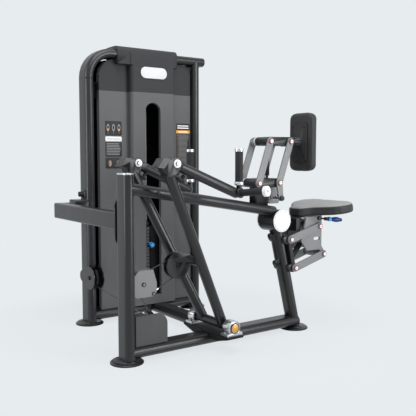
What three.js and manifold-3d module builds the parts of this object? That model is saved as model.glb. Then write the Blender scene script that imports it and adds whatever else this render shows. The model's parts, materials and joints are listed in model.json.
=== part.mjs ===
// Seated row machine with a swinging row frame, a chest pad, a seat and a shrouded weight stack.
// Lengths are millimetres. The origin is on the floor under the front column, +X runs along the rail
// to the seat, +Y runs to the weight tower and +Z is up.
import * as THREE from 'three';
import { mergeVertices } from 'three/addons/utils/BufferGeometryUtils.js';
import Module from 'manifold-3d';

const wasm = await Module();
wasm.setup();

// Driving dimensions
const slack = 0.3; // gap between pieces that touch
const overrun = 6; // how far a cut runs past the face it opens
const wall = 3; // sheet thickness of the shroud and the covers
const frameTube = { wide: 100, thick: 50 }; // flat-oval frame tube
const foot = { radius: 75, edge: 5, height: 12, crown: 66 };
const column = { x: 0, y: 0, top: 828, cap: 6 };
const rail = { z: 45 };
const seatPost = { footX: 999, topX: 856.5, wide: 80 };
const boss = { radius: 20, reach: 22, highZ: 508, lowZ: 366 };
const cap = { inset: 1.5 };
const drum = { x: 854, z: 583, radius: 56, half: 60, capRadius: 52, cap: 6 };
const upperTube = { startZ: 771, endX: 830, endZ: 631 };
const crossTube = { x: 566 };
const tower = { leftX: 155, rightX: 830, y: 710, depth: 110, thick: 50 };
const towerTop = { z: 1457, bendRadius: 135, lead: 8, endX: 886 };
const crownRise = { hood: 43, brow: 37 }; // above the middle of the tower's top tube
const drop = { shroud: 26, bulge: 53, hangerHigh: 157, pulley: 197, hangerLow: 227, slot: 253, guideRod: 257 }; // below it
const sideBeam = { low: 585, high: 664, half: 25, plateLow: 522, plateHigh: 722, plate: 10 };
const pulley = { groove: 41, rim: 46, half: 10, bore: 8, cable: 2.5, hub: 15 };
const columnPulley = { x: 79, z: 342 };
const swingPulley = { x: 261, z: 409 };
const legPulley = { y: 645, z: 262 };
const swing = { x: 470, z: 116, shaftRadius: 21, shaftHalf: 160, bearingGap: 0.7 };
const upright = { radius: 24, lowY: 78, highX: 121, highY: 160, highZ: 840, lowShare: 0.015, crossShare: 0.434 };
const arm = { x: 143, y: 164, z: 877, radius: 23, elbowX: 456, elbowY: 192, elbowZ: 743 };
const chest = { lowX: 697, lowZ: 776, reachX: 73, reachZ: 205.5, spread: 133 };
const seat = { upperX: 913, upperZ: 484, lowerX: 945, lowerZ: 335, reachX: 204, reachZ: 55.5 };
const link = { inner: 62, thick: 8, pin: 9, pinGap: 0.5, head: 14, headThick: 7, boss: 58 };
const stack = { x: 530, y: 735, wide: 250, deep: 84, low: 90, pitch: 19, resting: 16, lifted: 6 };
const shroud = {
  leftX: 205, panLeftX: 216, rightX: 802, frontY: 685, frontDepth: 27, backY: 760, backDepth: 52,
  top: towerTop.z - drop.shroud,
};
const stackRoom = { left: 15, right: 19 }; // from the plates to the sides of the bulge
const bulge = {
  leftX: stack.x - stack.wide / 2 - stackRoom.left, rightX: stack.x + stack.wide / 2 + stackRoom.right,
  y: 645, depth: 45, corner: 20, top: towerTop.z - drop.bulge,
};
const slot = { leftX: 477, rightX: 575, low: 120, high: towerTop.z - drop.slot, rim: 22 };

// Small helpers

function point(x, y, z) {
  return new THREE.Vector3(x, y, z);
}

function toSolid(geometry) {
  const plain = geometry.index ? geometry.toNonIndexed() : geometry.clone();
  plain.deleteAttribute('normal');
  plain.deleteAttribute('uv');
  const merged = mergeVertices(plain, 1e-3);
  const faces = [];
  for (let i = 0; i < merged.index.count; i += 3) {
    const corners = [merged.index.getX(i), merged.index.getX(i + 1), merged.index.getX(i + 2)];
    if (new Set(corners).size === 3) faces.push(...corners);
  }
  const vertProperties = Float32Array.from(merged.attributes.position.array);
  return new wasm.Manifold(new wasm.Mesh({ numProp: 3, vertProperties, triVerts: Uint32Array.from(faces) }));
}

function toGeometry(solid) {
  const mesh = solid.getMesh();
  const geometry = new THREE.BufferGeometry();
  geometry.setAttribute('position', new THREE.BufferAttribute(new Float32Array(mesh.vertProperties), 3));
  geometry.setIndex(new THREE.BufferAttribute(new Uint32Array(mesh.triVerts), 1));
  geometry.computeVertexNormals();
  return geometry;
}

function join(...solids) {
  return solids.reduce((whole, next) => whole.add(next));
}

// Flat-oval outline, straight in the longer direction
function oval(width, height, grow = 0) {
  const w = width / 2 + grow;
  const h = height / 2 + grow;
  const radius = Math.min(w, h);
  const shape = new THREE.Shape();
  if (w > h) {
    shape.absarc(w - radius, 0, radius, -Math.PI / 2, Math.PI / 2);
    shape.absarc(radius - w, 0, radius, Math.PI / 2, Math.PI * 1.5);
  } else {
    shape.absarc(0, h - radius, radius, 0, Math.PI);
    shape.absarc(0, radius - h, radius, Math.PI, Math.PI * 2);
  }
  return shape;
}

function disc(radius) {
  const shape = new THREE.Shape();
  shape.absarc(0, 0, radius, 0, Math.PI * 2);
  return shape;
}

function rectangle(x0, y0, x1, y1, corner = 0) {
  const shape = new THREE.Shape();
  if (corner === 0) {
    shape.moveTo(x0, y0).lineTo(x1, y0).lineTo(x1, y1).lineTo(x0, y1);
    return shape;
  }
  shape.absarc(x1 - corner, y0 + corner, corner, -Math.PI / 2, 0);
  shape.absarc(x1 - corner, y1 - corner, corner, 0, Math.PI / 2);
  shape.absarc(x0 + corner, y1 - corner, corner, Math.PI / 2, Math.PI);
  shape.absarc(x0 + corner, y0 + corner, corner, Math.PI, Math.PI * 1.5);
  return shape;
}

// Outline of a strap with round ends of two radii about two centres
function strap(x0, y0, r0, x1, y1, r1) {
  const along = Math.atan2(y1 - y0, x1 - x0);
  const lean = Math.acos((r0 - r1) / Math.hypot(x1 - x0, y1 - y0));
  const shape = new THREE.Shape();
  shape.absarc(x1, y1, r1, along - lean, along + lean);
  shape.absarc(x0, y0, r0, along + lean, along - lean + Math.PI * 2);
  return shape;
}

function polygon(corners) {
  return new THREE.Shape(corners.map(([x, y]) => new THREE.Vector2(x, y)));
}

// An outline run from one place to another, its own y axis kept near the given direction
function bar(shape, from, to, up = point(0, 0, 1), segments = 5) {
  const along = to.clone().sub(from);
  const depth = along.length();
  along.normalize();
  const side = up.clone().cross(along).normalize();
  const rise = along.clone().cross(side);
  const options = { depth, bevelEnabled: false, curveSegments: segments };
  const geometry = new THREE.ExtrudeGeometry(shape, options);
  geometry.applyMatrix4(new THREE.Matrix4().makeBasis(side, rise, along).setPosition(from));
  return toSolid(geometry);
}

function rod(radius, from, to, segments = 7) {
  const along = to.clone().sub(from).normalize();
  const up = Math.abs(along.z) > Math.abs(along.y) ? point(0, 1, 0) : point(0, 0, 1);
  return bar(disc(radius), from, to, up, segments);
}

// An outline drawn in X and Z, with its thickness along Y from low to high
function plateXZ(shape, low, high, segments = 5) {
  const options = { depth: high - low, bevelEnabled: false, curveSegments: segments };
  const geometry = new THREE.ExtrudeGeometry(shape, options);
  geometry.rotateX(Math.PI / 2);
  geometry.translate(0, high, 0);
  return toSolid(geometry);
}

// An outline drawn in X and Y, with its thickness along Z
function plateXY(shape, low, high, segments = 5) {
  const geometry = new THREE.ExtrudeGeometry(shape, { depth: high - low, bevelEnabled: false, curveSegments: segments });
  geometry.translate(0, 0, low);
  return toSolid(geometry);
}

// An outline drawn in Y and Z, with its thickness along X
function plateYZ(shape, low, high, segments = 5) {
  const geometry = new THREE.ExtrudeGeometry(shape, { depth: high - low, bevelEnabled: false, curveSegments: segments });
  geometry.applyMatrix4(new THREE.Matrix4().makeBasis(point(0, 1, 0), point(0, 0, 1), point(1, 0, 0)));
  geometry.translate(low, 0, 0);
  return toSolid(geometry);
}

function block(x0, y0, z0, x1, y1, z1) {
  const geometry = new THREE.BoxGeometry(x1 - x0, y1 - y0, z1 - z0);
  geometry.translate((x0 + x1) / 2, (y0 + y1) / 2, (z0 + z1) / 2);
  return toSolid(geometry);
}

// A polyline whose own corners are the steps of a swept tube
class Route extends THREE.Curve {
  constructor(corners) {
    super();
    this.corners = corners;
  }

  getPoint(t, target = new THREE.Vector3()) {
    const place = Math.min(Math.max(t, 0), 1) * (this.corners.length - 1);
    const index = Math.min(Math.floor(place), this.corners.length - 2);
    return target.copy(this.corners[index]).lerp(this.corners[index + 1], place - index);
  }

  getPointAt(u, target) {
    return this.getPoint(u, target);
  }

  getTangentAt(u, target) {
    return this.getTangent(u, target);
  }
}

function sweep(shape, corners, segments) {
  const options = { steps: corners.length - 1, extrudePath: new Route(corners), curveSegments: segments };
  return toSolid(new THREE.ExtrudeGeometry(shape, options));
}

// Points on an arc about a centre, turning a spoke about an axis
function arc(centre, spoke, axis, angle, steps) {
  const places = [];
  for (let i = 0; i <= steps; i += 1) {
    places.push(spoke.clone().applyAxisAngle(axis, (angle * i) / steps).add(centre));
  }
  return places;
}

// The angle at which a line from a place first touches a circle, measured at the circle's centre
function tangentAngle(fromX, fromY, centreX, centreY, radius, side) {
  const back = Math.atan2(fromY - centreY, fromX - centreX);
  const lean = Math.acos(radius / Math.hypot(fromX - centreX, fromY - centreY));
  return back + side * lean;
}

const paint = { color: 0x4b4d4f, roughness: 0.45, metalness: 0.35 };
const linkPaint = { color: 0x858688, roughness: 0.45, metalness: 0.35 };
const shroudPaint = { color: 0x5e6062, roughness: 0.6, metalness: 0.1 };
const blackPlastic = { color: 0x17181a, roughness: 0.55, metalness: 0 };
const blackSteel = { color: 0x202224, roughness: 0.5, metalness: 0.4 };
const brightSteel = { color: 0xc9cbcd, roughness: 0.25, metalness: 0.9 };
const vinyl = { color: 0x242527, roughness: 0.6, metalness: 0 };
const gripRubber = { color: 0x1b1c1e, roughness: 0.75, metalness: 0 };
const blue = { color: 0x3ca0f0, roughness: 0.4, metalness: 0 };
const iron = { color: 0x1d1e20, roughness: 0.7, metalness: 0.3 };

const machine = new THREE.Group();

// Puts a solid in a mesh whose own origin is the given place
function piece(group, name, solid, finish, origin = point(0, 0, 0)) {
  const geometry = toGeometry(solid);
  geometry.translate(-origin.x, -origin.y, -origin.z);
  const mesh = new THREE.Mesh(geometry, new THREE.MeshStandardMaterial(finish));
  mesh.name = name;
  mesh.position.copy(origin).sub(group.position);
  group.add(mesh);
  return mesh;
}

function frameGroup(x, y, z) {
  const group = new THREE.Group();
  group.position.set(x, y, z);
  machine.add(group);
  return group;
}

// Main frame

const footTop = foot.height / 2; // the tubes are welded into their foot discs
const across = point(0, 1, 0);

function columnSolid(grow = 0) {
  const shape = oval(frameTube.wide, frameTube.thick, grow);
  return bar(shape, point(column.x, column.y, footTop - grow), point(column.x, column.y, column.top + grow), point(1, 0, 0));
}

function railSolid(grow = 0) {
  const shape = oval(frameTube.wide, frameTube.thick, grow);
  return bar(shape, point(column.x, 0, rail.z), point(seatPost.footX, 0, rail.z));
}

function postSolid(grow = 0) {
  const shape = oval(seatPost.wide, frameTube.thick, grow);
  const low = point(seatPost.footX, 0, footTop);
  const high = point(seatPost.topX, 0, drum.z);
  const lean = high.clone().sub(low).normalize();
  return bar(shape, low.clone().addScaledVector(lean, -frameTube.thick), high, point(1, 0, 0));
}

// Where the axis of the leaning post passes a height
function postAxis(z) {
  const share = (drum.z - z) / (drum.z - footTop);
  return point(seatPost.topX + (seatPost.footX - seatPost.topX) * share, 0, z);
}

// Round clamp bosses on the front of the post, one for each seat link
function postBosses() {
  const lean = postAxis(drum.z).sub(postAxis(footTop)).normalize();
  const forward = point(-lean.z, 0, lean.x);
  return [boss.highZ, boss.lowZ].map((z) => rod(
    boss.radius, postAxis(z), postAxis(z).addScaledVector(forward, frameTube.thick / 2 + boss.reach), 4,
  ));
}

function drumSolid(grow = 0) {
  const half = drum.half + grow;
  return rod(drum.radius + grow, point(drum.x, -half, drum.z), point(drum.x, half, drum.z), 12);
}

function upperTubeSolid(grow = 0) {
  const shape = oval(frameTube.wide, frameTube.thick, grow);
  return bar(shape, point(column.x, 0, upperTube.startZ), point(upperTube.endX, 0, upperTube.endZ));
}

function legSolid(x, top, grow = 0) {
  const shape = oval(tower.depth, tower.thick, grow);
  return bar(shape, point(x, tower.y, footTop - grow), point(x, tower.y, top), point(1, 0, 0));
}

function baseTubeSolid(grow = 0) {
  const shape = oval(frameTube.wide, frameTube.thick, grow);
  return bar(shape, point(tower.leftX, tower.y, rail.z), point(tower.rightX, tower.y, rail.z));
}

function topTubeSolid(grow = 0) {
  const { bendRadius, z, endX } = towerTop;
  const centre = point(tower.leftX + bendRadius, tower.y, z - bendRadius);
  const bend = arc(centre, point(-bendRadius, 0, 0), across, Math.PI / 2, 8);
  const lead = point(tower.leftX, tower.y, z - bendRadius - towerTop.lead);
  const corners = [lead, ...bend, point(endX, tower.y, z)];
  return sweep(oval(tower.depth, tower.thick, grow), corners, 5);
}

function footDisc(x, y) {
  const profile = [
    new THREE.Vector2(0, 0), new THREE.Vector2(foot.radius, 0), new THREE.Vector2(foot.radius, foot.edge),
    new THREE.Vector2(foot.crown, foot.height), new THREE.Vector2(0, foot.height),
  ];
  const geometry = new THREE.LatheGeometry(profile, 24);
  geometry.rotateX(Math.PI / 2);
  geometry.translate(x, y, 0);
  return toSolid(geometry);
}

function buildMainFrame() {
  const group = frameGroup(column.x, column.y, 0);
  const capPlate = plateXY(oval(frameTube.thick, frameTube.wide, -cap.inset), column.top, column.top + column.cap);
  piece(group, 'column', join(footDisc(column.x, column.y), columnSolid(), capPlate), paint);
  const rounded = railSolid().subtract(columnSolid(slack)).subtract(postSolid(slack));
  piece(group, 'base_rail', rounded, paint, point(column.x, 0, rail.z));
  const floorCut = block(
    seatPost.footX - frameTube.wide, -frameTube.wide, -frameTube.wide,
    seatPost.footX + frameTube.wide, frameTube.wide, footTop,
  );
  const post = join(
    postSolid().subtract(drumSolid(slack)).subtract(floorCut), footDisc(seatPost.footX, 0), ...postBosses(),
  ).subtract(pinBore(seat.upperX, seat.upperZ)).subtract(pinBore(seat.lowerX, seat.lowerZ));
  piece(group, 'seat_post', post, paint, point(seatPost.footX, 0, footTop));
  const capReach = drum.half + drum.cap;
  const drumCaps = rod(drum.capRadius, point(drum.x, -capReach, drum.z), point(drum.x, capReach, drum.z), 12);
  piece(group, 'post_drum', join(drumSolid(), drumCaps), paint, point(drum.x, 0, drum.z));
  const upper = upperTubeSolid().subtract(columnSolid(slack)).subtract(drumSolid(slack));
  piece(group, 'upper_tube', upper, paint, point(column.x, 0, upperTube.startZ));

  const crossEnd = point(crossTube.x, tower.y, rail.z);
  const cross = bar(oval(frameTube.wide, frameTube.thick), point(crossTube.x, 0, rail.z), crossEnd);
  piece(group, 'cross_tube', cross.subtract(railSolid(slack)).subtract(baseTubeSolid(slack)), paint, crossEnd);
}

// The side beam leaves the column through a flange plate and turns into the tower's left leg
function buildSideBeam() {
  const group = frameGroup(column.x, 0, sideBeam.low);
  const plateY = frameTube.wide / 2 + slack;
  const plateShape = oval(frameTube.thick, sideBeam.plateHigh - sideBeam.plateLow);
  const plate = plateXZ(plateShape, plateY, plateY + sideBeam.plate)
    .translate(0, 0, (sideBeam.plateHigh + sideBeam.plateLow) / 2);
  const farY = tower.y + sideBeam.half;
  const corner = 8;
  const middleZ = (sideBeam.low + sideBeam.high) / 2;
  const half = (sideBeam.high - sideBeam.low) / 2;
  const section = rectangle(-sideBeam.half, -half, sideBeam.half, half, corner);
  const run = bar(section, point(column.x, plateY, middleZ), point(column.x, farY, middleZ), undefined, 2);
  const turn = bar(section, point(column.x, tower.y, middleZ), point(tower.leftX, tower.y, middleZ), undefined, 2);
  const sleeveWall = 7;
  const sleeveLong = 60;
  const sleeveHalf = half + sleeveWall * 2;
  const sleeveShape = rectangle(-tower.depth / 2 + sleeveWall, -sleeveHalf, tower.depth / 2 - sleeveWall, sleeveHalf, corner);
  const legFace = tower.leftX - tower.thick / 2;
  const sleeve = bar(sleeveShape, point(legFace - sleeveLong, tower.y, middleZ), point(tower.leftX, tower.y, middleZ), undefined, 2);
  const leg = legSolid(tower.leftX, towerTop.z - towerTop.bendRadius, slack);
  piece(group, 'side_beam', join(plate, run, turn, sleeve).subtract(leg), paint, point(column.x, plateY, middleZ));
}

const hanger = {
  y: 750, thick: 6, low: towerTop.z - drop.hangerLow, high: towerTop.z - drop.hangerHigh, leftX: 440, rightX: 580,
};
const top = {
  pulleyZ: towerTop.z - drop.pulley, leftX: tower.leftX + pulley.groove, rightX: stack.x - pulley.groove,
};

function buildTower() {
  const group = frameGroup(tower.leftX, tower.y, 0);
  const bendLow = towerTop.z - towerTop.bendRadius - towerTop.lead;
  // The cable climbs inside the left leg: a slot for each pulley and a sloping channel between them
  const slotHalf = pulley.half + wall;
  const legFront = tower.y - tower.depth / 2;
  const legPulleySlot = block(
    tower.leftX - slotHalf, legFront - overrun, legPulley.z - pulley.rim - overrun,
    tower.leftX + slotHalf, legPulley.y + pulley.rim + overrun, legPulley.z + pulley.rim + overrun,
  );
  const topSlot = block(
    top.leftX - pulley.rim - wall, stack.y - slotHalf, top.pulleyZ - pulley.rim - overrun,
    tower.leftX + tower.thick / 2 + overrun, stack.y + slotHalf, top.pulleyZ + pulley.rim + overrun,
  );
  const channelRadius = 7;
  const channel = rod(
    channelRadius, point(tower.leftX, legPulley.y + pulley.groove, legPulley.z),
    point(tower.leftX, stack.y, top.pulleyZ), 3,
  );
  const latch = { y: 700, z: 707, half: 22, high: 23, plate: 8, knob: 13, knobLong: 22 };
  const legFace = tower.leftX - tower.thick / 2;
  const latchPlate = block(
    legFace - latch.plate, latch.y - latch.half, latch.z - latch.high,
    tower.leftX, latch.y + latch.half, latch.z + latch.half,
  );
  const knobEnd = point(legFace - latch.plate - latch.knobLong, latch.y, latch.z);
  const knob = rod(latch.knob, point(legFace - latch.plate, latch.y, latch.z), knobEnd, 6);
  const leftFoot = footDisc(tower.leftX, tower.y);
  const left = join(leftFoot, legSolid(tower.leftX, bendLow - slack), latchPlate, knob)
    .subtract(legPulleySlot).subtract(topSlot).subtract(channel);
  piece(group, 'tower_leg_left', left, paint, point(tower.leftX, tower.y, 0));
  const rightLeg = legSolid(tower.rightX, towerTop.z).subtract(topTubeSolid(slack));
  const right = join(footDisc(tower.rightX, tower.y), rightLeg);
  piece(group, 'tower_leg_right', right, paint, point(tower.rightX, tower.y, 0));
  piece(group, 'tower_top_tube', topTubeSolid(), paint, point(tower.leftX, tower.y, bendLow));
  const legs = join(legSolid(tower.leftX, bendLow, slack), legSolid(tower.rightX, bendLow, slack));
  piece(group, 'tower_base_tube', baseTubeSolid().subtract(legs), paint, point(tower.leftX, tower.y, rail.z));
}

// Shroud: pressed pans left, right and behind, a bulged centre panel with the stack slot, and a crown

function panOutline(x0, x1, low, high, leftCorner, rightCorner, inset = 0) {
  const shape = new THREE.Shape();
  const left = x0 + inset;
  const right = x1 - inset;
  const head = high - inset;
  shape.moveTo(left, low + inset);
  shape.lineTo(right, low + inset);
  if (rightCorner > 0) shape.absarc(x1 - rightCorner, high - rightCorner, rightCorner - inset, 0, Math.PI / 2);
  else shape.lineTo(right, head);
  if (leftCorner > 0) shape.absarc(x0 + leftCorner, high - leftCorner, leftCorner - inset, Math.PI / 2, Math.PI);
  else shape.lineTo(left, head);
  return shape;
}

function buildShroud() {
  const group = frameGroup(shroud.leftX, shroud.frontY, 0);
  const low = rail.z + frameTube.thick / 2 + slack;
  const corner = 100;
  const face = shroud.frontY;
  const back = shroud.frontY + shroud.frontDepth;

  const leftEnd = bulge.leftX - slack;
  const panLeft = shroud.panLeftX;
  const left = plateXZ(panOutline(panLeft, leftEnd, low, shroud.top, corner, 0), face, back, 4)
    .subtract(plateXZ(panOutline(panLeft, leftEnd, low, shroud.top, corner, 0, wall), face + wall, back + overrun, 4));
  piece(group, 'shroud_left', left, shroudPaint, point(panLeft, face, low));

  const rightStart = bulge.rightX + slack;
  const right = plateXZ(panOutline(rightStart, shroud.rightX, low, shroud.top, 0, corner / 2), face, back, 4)
    .subtract(plateXZ(panOutline(rightStart, shroud.rightX, low, shroud.top, 0, corner / 2, wall), face + wall, back + overrun, 4));
  piece(group, 'shroud_right', right, shroudPaint, point(rightStart, face, low));

  const rearLow = rail.z;
  const rearFront = shroud.backY + slack;
  const rearBack = shroud.backY + shroud.backDepth;
  const rear = plateXZ(panOutline(shroud.leftX, shroud.rightX, rearLow, shroud.top, corner, corner), rearFront, rearBack, 4)
    .subtract(plateXZ(
      panOutline(shroud.leftX, shroud.rightX, rearLow, shroud.top, corner, corner, wall),
      rearFront - overrun, rearBack - wall, 4,
    ));
  piece(group, 'shroud_rear', rear, shroudPaint, point(shroud.leftX, rearBack, rearLow));

  const bulgeBack = bulge.y + bulge.depth;
  const outer = rectangle(bulge.leftX, bulge.y, bulge.rightX, bulgeBack + bulge.corner + overrun, bulge.corner);
  const inner = rectangle(
    bulge.leftX + wall, bulge.y + wall, bulge.rightX - wall, bulgeBack + bulge.corner + overrun * 2, bulge.corner - wall,
  );
  const behind = block(bulge.leftX - overrun, bulgeBack, 0, bulge.rightX + overrun, tower.y + tower.depth, towerTop.z);
  const channel = plateXY(outer, low, bulge.top, 3)
    .subtract(plateXY(inner, low - overrun, bulge.top + overrun, 3)).subtract(behind);
  const slotRadius = (slot.rightX - slot.leftX) / 2;
  const slotX = (slot.rightX + slot.leftX) / 2;
  const slotOutline = (grow) => {
    const shape = new THREE.Shape();
    shape.moveTo(slotX - slotRadius - grow, slot.low - grow);
    shape.lineTo(slotX + slotRadius + grow, slot.low - grow);
    shape.absarc(slotX, slot.high - slotRadius, slotRadius + grow, 0, Math.PI);
    return shape;
  };
  const rim = plateXZ(slotOutline(wall), bulge.y, bulge.y + slot.rim, 6);
  const opening = plateXZ(slotOutline(0), bulge.y - overrun, bulge.y + slot.rim + overrun, 6);
  piece(group, 'shroud_center', join(channel, rim).subtract(opening), shroudPaint, point(bulge.leftX, bulge.y, low));

  const wing = { left: 77, right: 16 }; // of the crown, past the sides of the bulge
  const crown = {
    leftX: bulge.leftX - wing.left, rightX: bulge.rightX + wing.right, top: towerTop.z + crownRise.hood,
    front: 650, back: 800, corner: 30, browTop: towerTop.z + crownRise.brow,
  };
  const hood = rectangle(crown.front, shroud.top + slack, crown.back, crown.top, crown.corner);
  const brow = new THREE.Shape();
  brow.moveTo(bulge.y, bulge.top + slack);
  brow.lineTo(bulgeBack, bulge.top + slack);
  brow.lineTo(bulgeBack, crown.browTop);
  brow.quadraticCurveTo(bulge.y, crown.browTop, bulge.y, bulge.top + bulge.depth);
  const hangerRoom = block(
    hanger.leftX - slack, hanger.y - slack, bulge.top, hanger.rightX + slack, hanger.y + hanger.thick + slack, towerTop.z,
  );
  const skirt = block(
    crown.leftX, crown.front, bulge.top + slack, crown.rightX, shroud.frontY - slack, shroud.top + crown.corner,
  );
  const crownSolid = join(
    plateYZ(hood, crown.leftX, crown.rightX, 3),
    plateYZ(brow, bulge.leftX, bulge.rightX, 6),
    skirt,
  ).subtract(topTubeSolid(slack)).subtract(hangerRoom);
  piece(group, 'shroud_crown', crownSolid, shroudPaint, point(crown.leftX, crown.front, bulge.top));
}

// Weight stack

const rodOffset = 100;
const guideRod = { radius: 10, gap: 2, top: towerTop.z - drop.guideRod };
const stem = { radius: 12, gap: 1, low: 100, neck: 20, neckLong: 22, eye: 9, eyeLong: 16 };
const selector = { radius: 4.5, gap: 0.4, knob: 15, knobFront: 667, knobLong: 22 };
const pinZ = stack.low + (stack.resting + 0.5) * stack.pitch;

// Plates resting on each other, joined by a core that is set back from their edges
function plateStack(first, count) {
  const low = stack.low + first * stack.pitch;
  const high = low + count * stack.pitch - slack;
  const groove = { inset: 2, high: 2 };
  const halfWide = stack.wide / 2;
  const halfDeep = stack.deep / 2;
  const core = block(
    stack.x - halfWide + groove.inset, stack.y - halfDeep + groove.inset, low,
    stack.x + halfWide - groove.inset, stack.y + halfDeep - groove.inset, high,
  );
  const plan = rectangle(
    stack.x - halfWide, stack.y - halfDeep, stack.x + halfWide, stack.y + halfDeep,
  );
  let whole = core;
  for (let i = 0; i < count; i += 1) {
    const plateLow = low + i * stack.pitch;
    whole = whole.add(plateXY(plan, plateLow, plateLow + stack.pitch - groove.high, 1));
  }
  for (let i = 0; i < count; i += 1) {
    const middle = low + (i + 0.5) * stack.pitch;
    const front = point(stack.x, stack.y - halfDeep - overrun, middle);
    whole = whole.subtract(rod(selector.radius + selector.gap, front, point(stack.x, stack.y, middle), 3));
  }
  const bores = [
    [stack.x - rodOffset, guideRod.radius + guideRod.gap],
    [stack.x + rodOffset, guideRod.radius + guideRod.gap],
    [stack.x, stem.radius + stem.gap],
  ];
  for (const [x, radius] of bores) {
    const bore = rod(radius, point(x, stack.y, low - overrun), point(x, stack.y, high + overrun), 4);
    whole = whole.subtract(bore);
  }
  return whole;
}

function buildStack() {
  const group = frameGroup(stack.x, stack.y, 0);
  const baseTop = rail.z + frameTube.thick / 2 + slack;
  let resting = plateStack(0, stack.resting);
  const buffer = { radius: 20 };
  for (const side of [-1, 1]) {
    const x = stack.x + side * rodOffset;
    const pad = rod(buffer.radius, point(x, stack.y, baseTop), point(x, stack.y, stack.low + buffer.radius / 4), 6);
    const hole = rod(guideRod.radius + guideRod.gap, point(x, stack.y, 0), point(x, stack.y, stack.low + buffer.radius), 4);
    resting = resting.add(pad.subtract(hole));
    const guide = rod(guideRod.radius, point(x, stack.y, baseTop), point(x, stack.y, guideRod.top - slack), 6);
    piece(group, side < 0 ? 'guide_rod_left' : 'guide_rod_right', guide, brightSteel, point(x, stack.y, baseTop));
  }
  piece(group, 'resting_plates', resting, iron, point(stack.x, stack.y, stack.low));
  piece(group, 'lifted_plates', plateStack(stack.resting, stack.lifted), iron, point(stack.x, stack.y, pinZ));

  const stackTop = stack.low + (stack.resting + stack.lifted) * stack.pitch;
  const neckTop = stackTop + stem.neckLong;
  const stemSolid = join(
    rod(stem.radius, point(stack.x, stack.y, stem.low), point(stack.x, stack.y, neckTop), 6),
    rod(stem.neck, point(stack.x, stack.y, stackTop), point(stack.x, stack.y, neckTop), 6),
    rod(stem.eye, point(stack.x, stack.y, neckTop), point(stack.x, stack.y, neckTop + stem.eyeLong), 6),
  );
  const pinHole = rod(
    selector.radius + selector.gap, point(stack.x, stack.y - stem.neck, pinZ), point(stack.x, stack.y + stem.neck, pinZ), 3,
  );
  piece(group, 'stack_stem', stemSolid.subtract(pinHole), brightSteel, point(stack.x, stack.y, stackTop));

  const knobBack = selector.knobFront + selector.knobLong;
  const selectorSolid = join(
    rod(selector.radius, point(stack.x, knobBack, pinZ), point(stack.x, stack.y + stem.radius / 2, pinZ), 3),
    rod(selector.knob, point(stack.x, selector.knobFront, pinZ), point(stack.x, knobBack, pinZ), 8),
  );
  piece(group, 'selector_pin', selectorSolid, blue, point(stack.x, knobBack, pinZ));
  return neckTop + stem.eyeLong;
}

// Pulleys, all one grooved wheel on an axle, turned so that its axis lies along a direction
function wheelSolid(centre, axis, groove = pulley.groove) {
  const rim = groove + pulley.rim - pulley.groove;
  const half = pulley.half;
  const floorHalf = pulley.cable;
  const webHalf = half - wall;
  const floorRadius = groove - pulley.cable - slack;
  const lip = wall / 2;
  const profile = [
    [pulley.bore + slack, -half], [pulley.hub, -half], [rim - wall * 2, -webHalf], [rim - wall, -half],
    [rim, lip - half], [floorRadius, -floorHalf], [floorRadius, floorHalf], [rim, half - lip],
    [rim - wall, half], [rim - wall * 2, webHalf], [pulley.hub, half],
    [pulley.bore + slack, half], [pulley.bore + slack, -half],
  ].map(([x, y]) => new THREE.Vector2(x, y));
  const geometry = new THREE.LatheGeometry(profile, 12);
  geometry.applyQuaternion(new THREE.Quaternion().setFromUnitVectors(point(0, 1, 0), axis));
  geometry.translate(centre.x, centre.y, centre.z);
  return toSolid(geometry);
}

function axle(centre, axis, reachBack, reachFront) {
  return rod(
    pulley.bore, centre.clone().addScaledVector(axis, -reachBack), centre.clone().addScaledVector(axis, reachFront), 6,
  );
}

const guard = { inner: 12.5, thick: 4, bolt: 6 };
const anchor = { x: 130, z: 295 };
const leaving = point(0.565, 0, -0.825).normalize(); // direction of the cable from column pulley to base
const leavingAngle = Math.atan2(-leaving.x, leaving.z);
const columnCentre = point(columnPulley.x, 0, columnPulley.z);
const swingCentre = point(swingPulley.x, 0, swingPulley.z);
const legCentre = point(tower.leftX, legPulley.y, legPulley.z);
const base = { groove: 30 };

function basePulleyPlace() {
  const leave = point(Math.cos(leavingAngle), 0, Math.sin(leavingAngle)).multiplyScalar(pulley.groove).add(columnCentre);
  const run = (tower.leftX - leave.x) / leaving.x;
  const corner = leave.clone().addScaledVector(leaving, run);
  const angle = tangentAngle(0, corner.z, legPulley.y, legPulley.z, pulley.groove, 1);
  const touch = point(0, Math.cos(angle), Math.sin(angle)).multiplyScalar(pulley.groove).add(legCentre);
  const onward = touch.clone().sub(corner).normalize();
  const turn = Math.acos(leaving.dot(onward));
  const bisector = onward.clone().sub(leaving).normalize();
  const centre = corner.clone().addScaledVector(bisector, base.groove / Math.cos(turn / 2));
  const reach = base.groove * Math.tan(turn / 2);
  const start = corner.clone().addScaledVector(leaving, -reach);
  const axis = leaving.clone().cross(onward).normalize();
  return { leave, start, turn, centre, axis, touch, onward };
}

const basePlace = basePulleyPlace();

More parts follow.
